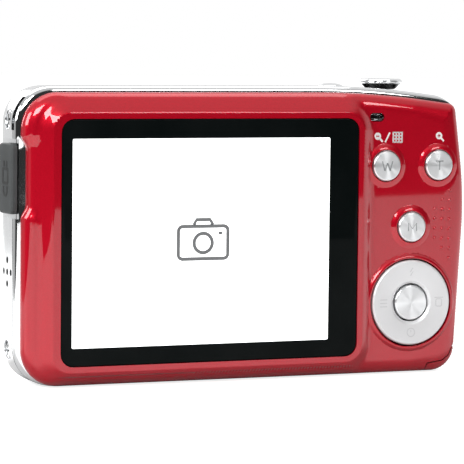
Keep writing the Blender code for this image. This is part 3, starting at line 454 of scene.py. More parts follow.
silicone = mouldedLook("silicone", (0.7, 0.7, 0.67), (0.78, 0.78, 0.75), 0.55)

# Inside pieces keep their CAD shape and take a finish
for look, names in (
        (boardGreen, "button_board main_board sensor_board top_switch_board"),
        (steel, "chassis card_socket usb_socket microphone door_hinge_pin"),
        (brass, "battery_contacts"), (wrapBlue, "battery flash_capacitor memory_card"),
        (blackPlastic, "shutter_collar nav_carrier speaker lens_carrier image_sensor"),
        (silicone, "button_mat lcd_module"), (orangePlastic, "battery_latch"),
        (clearGlass, "rear_lens_element infrared_filter flash_tube"), (chrome, "flash_reflector")):
    for name in names.split():
        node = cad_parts[name]
        node.data.materials.clear()
        node.data.materials.append(look)
print("inside pieces finished")


# Red back cover

# The lips are crest radius, foot radius, rise and power; the grip's edge widens from the first x to the second
# by the third value; the roll is width, height and power.
cover = {"edgeWidth": 3.2, "slopeDrop": 3.7, "slopeWidth": 5.3, "slopePower": 1.15, "rimWidth": 1.1,
         "rimCorner": 3.7,
         "lip": (3.35, 4.45, 0.47, 1.35), "padLip": (9.2, 10.0, 0.5, 1.8), "gripEdge": (-36.0, -44.0, 2.0),
         "roll": (1.9, 2.8, 1.4), "holeGap": 0.22, "padGap": 0.35, "statusGap": 0.12, "notch": 1.05,
         "notchZ": (32.6, 48.7), "notchEnd": 2.6, "endGap": 0.2}
glass = dict(x0=glassLow[0] - 0.05, x1=glassHigh[0] + 0.05, z0=glassLow[2] - 0.05, z1=glassHigh[2] + 0.05)
plateau = dict(x0=glass["x0"] - cover["rimWidth"], x1=glass["x1"] + cover["rimWidth"] + 0.4,
               z0=glass["z0"] - cover["rimWidth"], z1=glass["z1"] + cover["rimWidth"],
               radius=cover["rimCorner"])


def notched(loop):
    # The cover steps in behind the port cover: x loses notch * s(z - z0) * s(z1 - z) on the +X side, where s
    # is a smooth step over notchEnd.
    def rise(v):
        v = np.clip(v / cover["notchEnd"], 0, 1)
        return v * v * (3 - 2 * v)
    low, high = cover["notchZ"]
    step = rise(loop[:, 1] - low) * rise(high - loop[:, 1]) * np.clip((loop[:, 0] - 30) / 10, 0, 1)
    return loop - np.stack([cover["notch"] * step, np.zeros(len(loop))], -1)


coverLoop = notched(resample(roundOutline(coverCorners, 0.0, 20), 640))
buttonSpots = {name: centreMm(name) for name in ("zoom_out_button", "zoom_in_button", "mode_button")}
padSpot = centreMm("nav_ring")
buttonRadius = 3.0
padRadius = (boxMm("nav_ring")[1][0] - boxMm("nav_ring")[0][0]) / 2
statusLow, statusHigh = boxMm("status_light_pipe")


def lipHeight(p, spot, lip):
    # A soft ring round a button: rise * (1 - t^power), t from 0 at its crest to 1 at its foot.
    crest, foot, rise, power = lip
    r = np.hypot(p[:, 0] - spot[0], p[:, 1] - spot[2])
    t = np.clip((r - crest) / (foot - crest), 0, 1)
    inner = np.clip((crest - r) / 0.3, 0, 1)
    return np.where(r < foot, panel + rise * (1 - t ** power) - 0.08 * inner ** 2, -99.0)


def coverHeight(p):
    # Height of the red skin over the point (x, z): the panel falls to the edge as a quarter ellipse, the
    # surround stands on it as a slope that steepens away from its rim and rolls over at the edge as
    # (1 - t^power)^(1/power), and soft rings stand round the buttons.
    d = np.where(insideLoop(p, coverLoop), loopDistance(p, coverLoop), 0.0)
    q = rectDistance(p, **plateau)
    start, end, more = cover["gripEdge"]
    s = 1 - np.clip(d / (cover["edgeWidth"] + more * np.clip((p[:, 0] - start) / (end - start), 0, 1)), 0, 1)
    base = coverEdge + (panel - coverEdge) * np.sqrt(np.maximum(1 - s ** 2, 0))
    slope = back - cover["slopeDrop"] * (np.maximum(q, 0) / cover["slopeWidth"]) ** cover["slopePower"]
    width, height, power = cover["roll"]
    t = 1 - np.clip(d / width, 0, 1)
    limit = coverEdge + height * np.maximum(1 - t ** power, 0) ** (1 / power) + 5 * np.maximum(d - width, 0)
    y = softMax(base, softMin(slope, limit, 0.5), 0.4)
    for spot in buttonSpots.values():
        y = softMax(y, lipHeight(p, spot, cover["lip"]), 0.08)
    y = softMax(y, lipHeight(p, padSpot, cover["padLip"]), 0.1)
    rim = np.clip((0.35 - q) / 0.35, 0, 1)
    return np.minimum(y, back - 0.1 * (1 - rim) ** 2 * (q < 0.35))


def capLoop(grow):
    # Where the battery door's end shows at the back: low under the pad, then up round the corner.
    capX, capZ, doorTop = -half + 8.7, 1.65, boxMm("battery_door")[1][2]
    path = np.array([(capX, 0), (capX - 0.4, capZ), (-half + 4.9, capZ + 0.45), (-half + 3.3, 0.65 * doorTop),
                     (-half + 2.4, doorTop)]) + grow
    return np.vstack([(path[0, 0], -2), path[1:], (-half - 6, path[-1, 1]), (-half - 6, -2)])


def reliefMesh(name, loops, keep, points, floor):
    # A plan of triangles through the loops and points, lifted to coverHeight, with a flat floor below and
    # walls where the plan ends. Normals of the skin are the slope of coverHeight, taken by differences.
    rings = [np.asarray(loop) for loop in loops]
    edges, start = [], 0
    for ring in rings:
        n = len(ring)
        i = np.arange(n)
        edges += np.stack([start + i, start + (i + 1) % n], -1).tolist()
        start += n
    plan = np.vstack(rings + [points])
    verts, _, faces, _, _, _ = delaunay_2d_cdt([Vector(p) for p in plan], edges, [], 0, 1e-5)
    verts = np.array([(v.x, v.y) for v in verts])
    faces = np.array([f for f in faces if len(f) == 3])
    faces = faces[keep(verts[faces].mean(1))]
    used = np.unique(faces)
    renumber = np.full(len(verts), -1)
    renumber[used] = np.arange(len(used))
    verts, faces = verts[used], renumber[faces]
    n = len(verts)
    y = coverHeight(verts)
    top = np.column_stack([verts[:, 0], y, verts[:, 1]])
    under = np.column_stack([verts[:, 0], np.minimum(floor, y - 0.4), verts[:, 1]])
    a, b, c = verts[faces[:, 0]], verts[faces[:, 1]], verts[faces[:, 2]]
    area = (b[:, 0] - a[:, 0]) * (c[:, 1] - a[:, 1]) - (b[:, 1] - a[:, 1]) * (c[:, 0] - a[:, 0])
    faces = np.where((area > 0)[:, None], faces[:, ::-1], faces)      # +Y up
    sides = np.concatenate([faces[:, [0, 1]], faces[:, [1, 2]], faces[:, [2, 0]]])
    key = np.sort(sides, 1)
    _, first, count = np.unique(key, axis=0, return_index=True, return_counts=True)
    rimSides = sides[first[count == 1]]
    walls = np.stack([rimSides[:, 1], rimSides[:, 0], rimSides[:, 0] + n, rimSides[:, 1] + n], -1)
    mesh = newMesh(name, np.vstack([top, under]),
                   faces.tolist() + (faces[:, ::-1] + n).tolist() + walls.tolist())
    mesh.shade_smooth()
    e = 0.02
    dx = (coverHeight(verts + [e, 0]) - coverHeight(verts - [e, 0])) / (2 * e)
    dz = (coverHeight(verts + [0, e]) - coverHeight(verts - [0, e])) / (2 * e)
    skin = np.column_stack([-dx, np.ones(n), -dz])
    skin /= np.linalg.norm(skin, axis=1, keepdims=True)
    corners = np.zeros((len(mesh.loops), 3))
    topCorners = len(faces) * 3
    corners[:topCorners] = skin[faces.reshape(-1)]
    corners[topCorners:2 * topCorners] = (0, -1, 0)
    flat = np.zeros(len(mesh.polygons) * 3)
    mesh.polygons.foreach_get("normal", flat)
    corners[2 * topCorners:] = np.repeat(flat.reshape(-1, 3)[2 * len(faces):], 4, axis=0)
    mesh.normals_split_custom_set([Vector(v) for v in corners])
    return mesh


def coverPlan():
    # Loops that bound the skin, and the points between them: rings that follow each edge closely.
    edge = coverLoop
    holes = [circle(s[0], s[2], buttonRadius + cover["holeGap"], 64) for s in buttonSpots.values()]
    holes.append(circle(padSpot[0], padSpot[2], padRadius + cover["padGap"], 110))
    low, high = statusLow - cover["statusGap"], statusHigh + cover["statusGap"]
    status = roundedRect(low[0], high[0], low[2], high[2], 0.86)
    window = resample(roundedRect(**glass, radius=2.6), 260)
    insets = (0.03, 0.1, 0.2, 0.35, 0.55, 0.8, 1.1, 1.4, 1.7, 2.0, 2.3)
    rings = [notched(resample(roundOutline(coverCorners, i, 20), 420)) for i in insets]
    grown = (0.5, 0.85, 1.0, 1.1, 1.2, 1.35, 1.6, 1.9, 2.3, 2.8, 3.4, 4.0, 4.6, 5.3, 6.0)
    around = np.vstack([resample(roundedRect(glass["x0"] - g, glass["x1"] + g + 0.4 * min(g, 1.1) / 1.1,
                                             glass["z0"] - g, glass["z1"] + g, 2.6 + g), 300) for g in grown])
    rings.append(around[insideLoop(around, edge) & (loopDistance(around, edge) > insets[-1] + 0.2)])
    lipRings = (3.28, 3.4, 3.55, 3.7, 3.9, 4.1, 4.25, 4.35, 4.42, 4.48, 4.56, 4.7)
    padRings = (9.1, 9.2, 9.35, 9.5, 9.65, 9.8, 9.9, 10.0, 10.06, 10.12, 10.3)
    rings += [circle(spot[0], spot[2], r, 64) for spot in buttonSpots.values() for r in lipRings]
    rings += [circle(padSpot[0], padSpot[2], r, 110) for r in padRings]
    gx, gz = np.meshgrid(np.arange(-half + 3, -half + 24, 0.9), np.arange(3, 56, 0.9))
    rings.append(np.stack([gx.ravel(), gz.ravel()], -1))
    points = np.vstack(rings)
    keep = insideLoop(points, coverLoop) & (loopDistance(points, edge) > 0.02)
    for hole in holes + [status, window]:
        keep &= ~insideLoop(points, hole) & (loopDistance(points, hole) > 0.03)
    return edge, holes + [status, window], points[keep]


coverEdgeLoop, coverHoles, coverPoints = coverPlan()


def outsideHoles(p):
    keep = insideLoop(p, coverLoop)
    for hole in coverHoles:
        keep &= ~insideLoop(p, hole)
    return keep


gapLoop, doorLoop = capLoop(cover["endGap"]), capLoop(0.0)
coverMesh = reliefMesh("backCover", [coverEdgeLoop, gapLoop] + coverHoles,
                       lambda p: outsideHoles(p) & ~insideLoop(p, gapLoop), coverPoints, panel - wall)
addPiece("backCover", coverMesh, red, "body", "back_cover", smooth=None)
inCap = insideLoop(coverPoints, capLoop(1.0))
capMesh = reliefMesh("doorCap", [coverEdgeLoop, doorLoop],
                     lambda p: outsideHoles(p) & insideLoop(p, doorLoop), coverPoints[inCap], rim + 0.1)
addPiece("doorCap", capMesh, red, "door", smooth=None, slot="battery_door")
print("red skin made:", len(coverMesh.polygons), "faces")


# Chrome trim between the red cover and the silver shell

trim = {"width": 1.35, "fall": 0.92}
trimFront, trimBack = boxMm("trim_ring")[0][1], boxMm("trim_ring")[1][1]
scoopPlace = {"lean": radians(6), "depth": 0.75, "width": 8.5, "margin": 0.9}
usbLow, usbHigh = boxMm("usb_cover")
barCentre = centreMm("strap_bar")
strapZ = (bodyTop - 8.5, bodyTop - 2.1)


def scoopCutter():
    # A leaning block that lowers the side behind the port cover.
    block = boxMesh("scoop", (0, 6), (-scoopPlace["width"], 6),
                    (usbLow[2] - scoopPlace["margin"], usbHigh[2] + scoopPlace["margin"]))
    place = Matrix.Translation(Vector((half - scoopPlace["depth"], rim, 0)) * mm)
    block.transform(place @ Matrix.Rotation(scoopPlace["lean"], 4, "Z"))
    return block


def strapCutter():
    return boxMesh("strapNotch", (half - 5, half + 3), (rim - 0.75, trimFront + 0.45), strapZ)


def capCutter(grow, low, high):
    loop = capLoop(grow)
    return loftMesh("capCutter", [(loop, low), (loop, high)])


def trimMesh():
    # A quarter-round bead: from the cover's outline to the shell's as sin(a), while the height falls as
    # 1 - cos(a); then straight in to the bore.
    outer = resample(roundOutline(shellCorners, 0, 24), 480)
    inner, bore = (notched(resample(roundOutline(coverCorners, inset, 24), 480))
                   for inset in (0, trim["width"]))
    inner, bore = (np.roll(loop, -np.argmin(((loop - outer[0]) ** 2).sum(-1)), 0) for loop in (inner, bore))
    fall = (trimBack - trimFront) * trim["fall"]
    loops = [(inner + (outer - inner) * np.sin(a), trimBack - fall * (1 - np.cos(a)))
             for a in np.linspace(0, pi / 2, 9)]
    loops += [(outer, trimFront), (bore, trimFront), (bore, trimBack)]
    return carve(loftMesh("chromeTrim", loops, closed=True),
                 [capCutter(cover["endGap"], trimFront - 2, trimBack + 2),
                                                       scoopCutter(), strapCutter()])


addPiece("chromeTrim", trimMesh(), chrome, "body", "trim_ring", smooth=40)
print("trim made")


# Silver front shell and the battery door cut from the same skin

lensCentre = centreMm("lens_barrel")
flashLow, flashHigh = boxMm("flash_window")
lampCentre, micCentre = centreMm("self_timer_lamp"), centreMm("microphone")
shutterCentre, powerCentre = centreMm("shutter_button"), centreMm("power_button")
tripodCentre, speakerCentre = centreMm("tripod_socket"), centreMm("speaker")
doorHigh = boxMm("battery_door")[1]
screwSunk = 0.15
sideSeats = [(half - screwSunk, *centreMm("side_screw_" + end)[1:]) for end in ("upper", "lower")]
baseSeats = [(*centreMm("base_screw_" + end)[:2], screwSunk) for end in ("outer", "inner")]

shell = {"straight": 3.0, "round": 7.0, "doorGap": 0.2, "hingeGap": 0.6, "flashGap": 0.25,
         "speakerPitch": 2.3,
         "lens": 15.2, "lamp": 1.5, "microphone": 0.5, "tripod": 4.45, "shutter": 4.75, "power": 2.8,
         "strap": 0.62, "speaker": 0.65}
screw = {"recess": 1.95, "way": 1.1, "step": 0.75, "head": 1.65, "shank": 0.8, "length": 4.2,
         "cross": (1.0, 0.22)}
# The plug's front is how far its middle stands in front of the rim.
plug = {"front": 3.45, "width": 3.2, "height": 9.0, "depth": 2.8}


def withoutY(centre):
    return (centre[0], 0, centre[2])


def withoutZ(centre):
    return (centre[0], centre[1], 0)


def skinMesh(name):
    # Outer skin from the rim, round the front edge as a quarter ellipse, to the flat front, then the inner
    # skin the same way back: inset r(1 - cos a), depth round * sin a.
    reach, bends = shell["round"], np.linspace(0, pi / 2, 16)
    skin = lambda inset, y: (roundOutline(shellCorners, inset, 24), y)
    outer = [skin(0, rim), skin(0, rim - shell["straight"])]
    outer += [skin(shellRound * (1 - np.cos(a)), front + reach - reach * np.sin(a)) for a in bends]
    inner = [skin(shellRound * (1 - np.cos(a)) + wall * np.cos(a), front + reach - (reach - wall) * np.sin(a))
             for a in bends]
    return loftMesh(name, outer[::-1] + [skin(wall, rim)] + inner)


def rodCutter(radius, low, high, axis, at, segments=48):
    path = [(0, low, 0), (radius, low, 0), (radius, high, 0), (0, high, 0)]
    return turnedMesh("rodCutter", path, at, axis, segments)


def frontCutters(flashGap, lamp, microphone):
    # The openings that the shell and the plate on its front share.
    low, high = flashLow - flashGap, flashHigh + flashGap
    reach = (front - 4, front + 3)
    return [boxMesh("flashCutter", (low[0], high[0]), reach, (low[2], high[2])),
            rodCutter(shell["lens"], *reach, "Y", withoutY(lensCentre), 96),
            rodCutter(lamp, *reach, "Y", withoutY(lampCentre)),
            rodCutter(microphone, *reach, "Y", withoutY(micCentre), 24)]


def screwCutter(at, axis, way):
    seat, narrow, step = screw["recess"], screw["way"], screw["step"] * way
    path = [(0, -3 * way, 0), (seat, -3 * way, 0), (seat, step, 0), (narrow, step, 0), (narrow, 4 * way, 0),
            (0, 4 * way, 0)]
    return turnedMesh("screwCutter", path, at, axis, 40)


def doorCutter(grow, endGap):
    corner, floor, top = -half + 7 + grow, wall + 0.1 + grow, doorHigh[2] + grow
    loop = np.array([(doorHigh[0] + endGap, -2), (doorHigh[0] + endGap, floor), (corner, floor),
                     (corner, top), (-half - 6, top), (-half - 6, -2)])
    return loftMesh("doorCutter", [(loop, front + 2.0 - grow), (loop, rim + 1)])


def shellMesh():
    height = (bodyTop - 4, bodyTop + 3)
    middle, tall = rim - plug["front"], (35.5, 45.4)
    cutters = frontCutters(shell["flashGap"], shell["lamp"], shell["microphone"]) + [
        doorCutter(shell["doorGap"], shell["hingeGap"]), scoopCutter(), strapCutter(),
        boxMesh("plugCutter", (half - 4, half + 1), (middle - 1.9, middle + 1.9), tall),
        rodCutter(shell["tripod"], -2, 4, "Z", withoutZ(tripodCentre), 72),
        rodCutter(shell["shutter"], *height, "Z", withoutZ(shutterCentre), 96),
        rodCutter(shell["power"], *height, "Z", withoutZ(powerCentre), 64),
        rodCutter(shell["strap"], rim - 1.25, rim + 1, "Y", withoutY(barCentre), 24)]
    cutters += [rodCutter(shell["speaker"], half - 3, half + 3, "X",
                          (0, *(speakerCentre[1:] + shell["speakerPitch"] * np.array(step))), 24)
                for step in ((0, 0), (1, 0), (-1, 0), (0, 1), (0, -1))]
    cutters += [screwCutter(at, "X", -1) for at in sideSeats] + [screwCutter(at, "Z", 1) for at in baseSeats]
    return carve(skinMesh("frontShell"), cutters)


addPiece("frontShell", shellMesh(), shellSilver, "body", "front_shell", smooth=35)
addPiece("batteryDoor", carve(skinMesh("batteryDoor"), [doorCutter(0, 0)], "INTERSECT"), shellSilver, "door",
         "battery_door", smooth=35)
print("shell made")


# Front: plate, lens, flash, lamp

plate = {"sunk": np.array([5.5, 3.5, 3.5, 5.5, 5.5, 2.6]), "edge": 0.4, "flashGap": 0.2, "lamp": 1.45,
         "microphone": 0.45}
plateFront = boxMm("front_plate")[0][1]


def plateMesh():
    # Set in all round, with a quarter-round front edge.
    edge = plate["edge"]
    loops = [(roundOutline(shellCorners, plate["sunk"], 24), front - 0.3)]
    loops += [(roundOutline(shellCorners, plate["sunk"] + edge * (1 - np.cos(a)), 24),
               plateFront + edge * (1 - np.sin(a))) for a in np.linspace(0, pi / 2, 7)]
    return carve(loftMesh("frontPlate", loops),
                 frontCutters(plate["flashGap"], plate["lamp"], plate["microphone"]))


addPiece("frontPlate", plateMesh(), red, "body", "front_plate", smooth=35)
lensAt = withoutY(lensCentre)
ringFront, ringBack = boxMm("lens_base_ring")[0][1], boxMm("lens_base_ring")[1][1]
barrelFront, barrelBack = boxMm("lens_barrel")[0][1], boxMm("lens_barrel")[1][1]
trimLow, trimHigh = boxMm("lens_trim_ring")
windowFront = boxMm("lens_window")[0][1]
seat = trimHigh[1] + 0.3
addPiece("lensBaseRing", turnedMesh("lensBaseRing", [
    (15.3, ringBack, 0), (19.0, ringBack, 0.1), (18.9, ringFront + 0.9, 0.5), (17.6, ringFront, 0.7),
    (16.2, ringFront, 0.3), (15.7, ringFront + 0.5, 0.2), (15.3, ringFront + 0.5, 0.0)], lensAt, closed=True,
    segments=120),
    chrome, "body", "lens_base_ring")
addPiece("lensBarrel", turnedMesh("lensBarrel", [
    (15.0, barrelBack, 0), (15.0, barrelFront + 3.4, 0.15), (14.75, barrelFront + 3.2, 0.1),
    (14.75, barrelFront + 2.9, 0.1), (15.0, barrelFront + 2.7, 0.15), (14.9, barrelFront, 0.8),
    (14.0, barrelFront, 0.2), (13.2, barrelFront + 0.35, 0.2), (10.7, barrelFront + 0.25, 0.2),
    (10.6, seat, 0.1),
    (8.8, seat, 0.1), (8.8, seat + 1.0, 0.0), (7.5, seat + 1.0, 0.1), (7.5, barrelFront + 5.6, 0.1),
    (13.5, barrelFront + 5.6, 0.1), (13.5, barrelBack, 0)],
    lensAt, closed=True, segments=120), blackPlastic, "body", "lens_barrel")
addPiece("lensTrimRing", turnedMesh("lensTrimRing", [
    (8.9, trimHigh[1], 0), (10.45, trimHigh[1], 0.1), (10.45, trimLow[1] + 0.1, 0.3), (9.9, trimLow[1], 0.3),
    (8.9, trimLow[1] + 0.7, 0.2)], lensAt, closed=True, segments=120), chrome, "body", "lens_trim_ring")
addPiece("lensWindow", turnedMesh("lensWindow", [
    (0, windowFront, 0), (8.45, windowFront + 0.02, 0.15), (8.45, windowFront + 0.68, 0.1),
    (0, windowFront + 0.7, 0)], lensAt, segments=96), clearGlass, "body", "lens_window")
elementLow, elementHigh = boxMm("front_lens_element")
bulge = [(7.2 * b, elementLow[1] + 1.5 * b ** 2, 0.0) for b in np.linspace(0, 1, 14)]
addPiece("frontElement", turnedMesh("frontElement",
                                    bulge + [(7.2, elementHigh[1] - 0.3, 0), (0, elementHigh[1], 0)],
                                    lensAt, segments=96), lensCoat, "body", "front_lens_element")


def roundedSlab(name, loopAt, profile, axis="Y", tilt=None):
    # Loops of a flat shape set in by the profile's first value, at the heights of its second.
    mesh = loftMesh(name, [(loopAt(inset), height) for inset, height in profile],
                    {"Y": (0, 2, 1), "X": (1, 2, 0)}[axis])
    if tilt is not None:
        mesh.transform(tilt)
    return mesh


def edgeRound(low, high, radius, steps=5):
    # Inset and height pairs of a slab whose outer (high) edge is a quarter circle.
    a = np.linspace(0, pi / 2, steps)
    way = 1 if high > low else -1
    return [(0, low)] + [(radius * (1 - np.cos(t)), high - way * radius * (1 - np.sin(t))) for t in a]


def rectAt(low, high, radius, pick=(0, 2)):
    return lambda inset: roundedRect(low[pick[0]] + inset, high[pick[0]] - inset, low[pick[1]] + inset,
                                     high[pick[1]] - inset, max(radius - inset, 0.05), 8)


flashGlass = glossLook("flashGlass", (0.75, 0.77, 0.78), (0.82, 0.84, 0.85), 0.12,
                       **{"Transmission Weight": 0.75})
addPiece("flashWindow", roundedSlab("flashWindow", rectAt(flashLow + 0.02, flashHigh - 0.02, 0.5),
                                    edgeRound(flashHigh[1], flashLow[1], 0.15)),
         flashGlass, "body", "flash_window")
lampLow, lampHigh = boxMm("self_timer_lamp")
addPiece("timerLamp", turnedMesh("timerLamp", [
    (0, lampLow[1], 0), (0.7, lampLow[1] + 0.02, 0.5), (1.3, lampLow[1] + 0.3, 0.3), (1.3, lampHigh[1], 0),
    (0, lampHigh[1], 0)], withoutY(lampCentre), segments=40), clearGlass, "body", "self_timer_lamp")
print("front made")


# Screen

glassFace = glassHigh[1]
addPiece("screenGlass", roundedSlab("screenGlass", rectAt(glassLow, glassHigh, 2.55),
                                    edgeRound(glassLow[1], glassFace, 0.25)),
         blackGloss, "body", "screen_glass")
lcdLow, lcdHigh = boxMm("lcd_module")
litLow, litHigh = lcdLow + 0.8, lcdHigh - 0.8
addPiece("litScreen", roundedSlab("litScreen", rectAt(litLow, litHigh, 0.1),
                                  [(0, glassFace - 0.05), (0, glassFace + 0.012)]),
         litPanel, "body", smooth=None, slot="lcd_module")


def inkMesh(name, strokes, place, thickness, sink=0.03):
    # Each stroke is a path with a width: its points are pushed to both sides of the path along the mean
    # normal, and the ribbon is given a thickness. Place puts (across, up, height) onto the object.
    points, faces, start = [], [], 0
    for path, width, closed in strokes:
        p = np.asarray(path, float)
        n = len(p)
        if closed:
            along = np.roll(p, -1, 0) - np.roll(p, 1, 0)
        else:
            along = np.gradient(p, axis=0)
        way = along / np.linalg.norm(along, axis=1, keepdims=True)
        side = turnLeft(way) * width / 2
        ring = np.stack([p + side, p - side, p - side, p + side], 0)
        height = np.array([thickness, thickness, -sink, -sink])[:, None, None] * np.ones((4, n, 1))
        points.append(place(np.concatenate([ring, height], -1).reshape(-1, 3)))
        i = np.arange(n if closed else n - 1)
        j = (i + 1) % n
        for k in range(4):
            m = (k + 1) % 4
            faces += (start + np.stack([k * n + i, k * n + j, m * n + j, m * n + i], -1)).tolist()
        if not closed:
            faces += [[start + k * n for k in range(4)], [start + k * n + n - 1 for k in (3, 2, 1, 0)]]
        start += 4 * n
    mesh = newMesh(name, np.vstack(points), faces)
    outwards(mesh)
    return mesh


def line(x0, z0, x1, z1, width):
    return (np.array([(x0, z0), (x1, z1)]), width, False)


def loopStroke(points, width):
    return (points, width, True)


def onBack(x, z, y):
    # Across is towards -X, which is right as seen from behind.
    return lambda p: np.column_stack([x - p[:, 0], y + p[:, 2], z + p[:, 1]])


def onSkin(x, z, size):
    # The same, but following the red skin's height.
    def place(p):
        plan = np.column_stack([x - p[:, 0] * size, z + p[:, 1] * size])
        return np.column_stack([plan[:, 0], coverHeight(plan) + p[:, 2], plan[:, 1]])
    return place


screenX, screenZ = (litLow[0] + litHigh[0]) / 2, (litLow[2] + litHigh[2]) / 2
cameraMark = [loopStroke(roundedRect(-5.2, 5.2, -3.4, 3.0, 0.9, 6), 0.7),
              loopStroke(circle(0, -0.3, 1.9, 40), 0.7),
              (np.array([(-2.0, 3.3), (-1.4, 4.3), (1.4, 4.3), (2.0, 3.3)]), 0.7, False),
              line(3.2, 1.6, 4.0, 1.6, 0.6)]
addPiece("screenPictogram",
         inkMesh("screenPictogram", cameraMark, onBack(screenX, screenZ, glassFace + 0.012), 0.012),
         screenMark, "body", smooth=None, slot="lcd_module")
print("screen made")


# Buttons on the back

def buttonPath(top, radius, foot, flange, flangeRadius):
    return [(0, top - 0.06, 0), (radius - 0.22, top, 0.06), (radius, top - 0.2, 0.12),
            (radius, flange + 0.4, 0), (flangeRadius, flange + 0.4, 0), (flangeRadius, flange, 0),
            (1.2, flange, 0),
            (1.2, foot, 0), (0, foot, 0)]


letters = {
    "zoom_out_button": [line(-1.15, 0.95, -0.6, -0.95, 0.26), line(-0.6, -0.95, 0, 0.6, 0.26),
                        line(0, 0.6, 0.6, -0.95, 0.26), line(0.6, -0.95, 1.15, 0.95, 0.26)],
    "zoom_in_button": [line(-0.85, 0.85, 0.85, 0.85, 0.26), line(0, 0.85, 0, -0.95, 0.26)],
    "mode_button": [(np.array([(-0.9, -0.8), (-0.9, 0.8), (0, -0.3), (0.9, 0.8), (0.9, -0.8)]), 0.22, False)]}
for name, spot in buttonSpots.items():
    low, high = boxMm(name)
    look = spunLook(name.replace("_", " ").title().replace(" ", "") + "Metal", spot, "Y", 0.34)
    piece = turnedMesh(name, buttonPath(high[1], buttonRadius, low[1], panel - wall - 0.7, 3.6),
                       withoutY(spot), segments=80)
    addPiece(name.replace("button", "cap"), piece, look, name.replace("_button", ""), name, smooth=40)
    addPiece(name.replace("button", "letter"),
             inkMesh(name, letters[name], onBack(spot[0], spot[2], high[1] - 0.025), 0.02),
             etched, name.replace("_button", ""), smooth=None, slot=name)

okLow, okHigh = boxMm("ok_button")
okAt = withoutY(padSpot)
addPiece("okCap", turnedMesh("okCap", [
    (0, okHigh[1] - 0.1, 0), (3.3, okHigh[1], 0.08), (3.55, okHigh[1] - 0.22, 0.14),
    (3.55, okLow[1] + 1.2, 0), (1.2, okLow[1] + 1.2, 0), (1.2, okLow[1], 0), (0, okLow[1], 0)], okAt,
    segments=96),
    spunLook("okMetal", padSpot, "Y", 0.32), "ok", "ok_button", smooth=40)
ringLow, ringHigh = boxMm("nav_ring")
navRing = {"bore": 3.9, "inner": 4.45, "edge": 0.3, "fall": 0.2}
addPiece("navRingCap", turnedMesh("navRingCap", [
    (navRing["bore"], ringLow[1], 0), (padRadius, ringLow[1], 0.1),
    (padRadius, ringHigh[1] - navRing["edge"], 0.12),
    (padRadius - navRing["edge"], ringHigh[1], 0.15), (navRing["inner"], ringHigh[1] - navRing["fall"], 0.1),
    (navRing["bore"], ringHigh[1] - 0.6, 0.1)],
    okAt, closed=True, segments=144), ringSilver, "pad", "nav_ring", smooth=40)


def onRing(across, up):
    # Marks lie on the ring's face, which falls slightly towards the middle.
    x, z = padSpot[0] - across, padSpot[2] + up
    def place(p):
        px, pz = x - p[:, 0], z + p[:, 1]
        r = np.hypot(px - padSpot[0], pz - padSpot[2])
        outer, inner, fall = padRadius - navRing["edge"], navRing["inner"], navRing["fall"]
        y = ringHigh[1] - fall + fall * np.clip((r - inner) / (outer - inner), 0, 1)
        return np.column_stack([px, y + p[:, 2], pz])
    return place


ringMarks = {
    "menuMark": ((-6.2, 0.0), [line(-0.8, k, 0.8, k, 0.22) for k in (0.7, 0.0, -0.7)]),
    "binMark": ((6.2, 0.0), [loopStroke(roundedRect(-0.65, 0.65, -0.9, 0.6, 0.2, 4), 0.2),
                             line(-0.95, 0.9, 0.95, 0.9, 0.2)]),
    "timerMark": ((0.0, -6.1), [loopStroke(circle(0, 0, 0.85, 28), 0.2), line(0, 0, 0, 0.5, 0.2)]),
    "flashMark": ((0.0, 6.3), [(np.array([(0.25, 0.8), (-0.35, -0.05), (0.3, 0.05), (-0.25, -0.8)]), 0.2,
                                False)])}
for name, (spot, strokes) in ringMarks.items():
    addPiece(name, inkMesh(name, strokes, onRing(*spot), 0.015), faintInk, "pad", smooth=None,
             slot="nav_ring")

addPiece("statusLight", roundedSlab("statusLight", rectAt(statusLow, statusHigh, 0.74),
                                    edgeRound(statusLow[1], panel - 0.12, 0.2)), clearGlass, "body",
                                    "status_light_pipe")
print("buttons made")


# White marks over the zoom buttons, and the raised dots by the thumb

def magnifier(plus):
    # A white disc with its sign left open in the middle, and a handle.
    marks = [loopStroke(circle(-0.25, 0.25, 0.58, 28), 0.42), line(0.25, -0.25, 0.95, -0.95, 0.42)]
    if plus:
        return marks + [line(-0.25 + a, 0.25 + b, -0.08 + a, 0.25 + b, 0.17) for a in (-0.28, 0.11)
                        for b in (-0.2, 0.2)]
    return marks + [line(-0.5, 0.25 + b, 0.0, 0.25 + b, 0.26) for b in (-0.24, 0.24)]


outSpot, inSpot = buttonSpots["zoom_out_button"], buttonSpots["zoom_in_button"]
bars = (1.05, 0.35, -0.35, -1.05)
grid = [line(-1.1, k, 1.1, k, 0.3) for k in bars] + [line(k, -1.2, k, 1.2, 0.3) for k in bars]
overButtons = {"up": 5.75, "size": 0.93, "thick": 0.03}
marks = {"zoomOutMark": (outSpot, 1.6, magnifier(False)),
         "slashMark": (outSpot, -0.35, [line(-0.55, -1.05, 0.55, 1.05, 0.36)]),
         "gridMark": (outSpot, -2.6, grid), "zoomInMark": (inSpot, -0.45, magnifier(True))}
for name, (spot, across, strokes) in marks.items():
    place = onSkin(spot[0] + across, spot[2] + overButtons["up"], overButtons["size"])
    addPiece(name, inkMesh(name, strokes, place, overButtons["thick"]), whiteInk, "body", smooth=None,
             slot="back_cover")

# The first dot's place, the pitch between columns and between rows, the drop from column to column.
dots = {"radius": 0.34, "rise": 0.3, "first": (-43.9, 37.24), "pitch": (1.68, 1.98), "drop": 1.88,
        "columns": (8, 6, 4), "rings": 5, "around": 14}


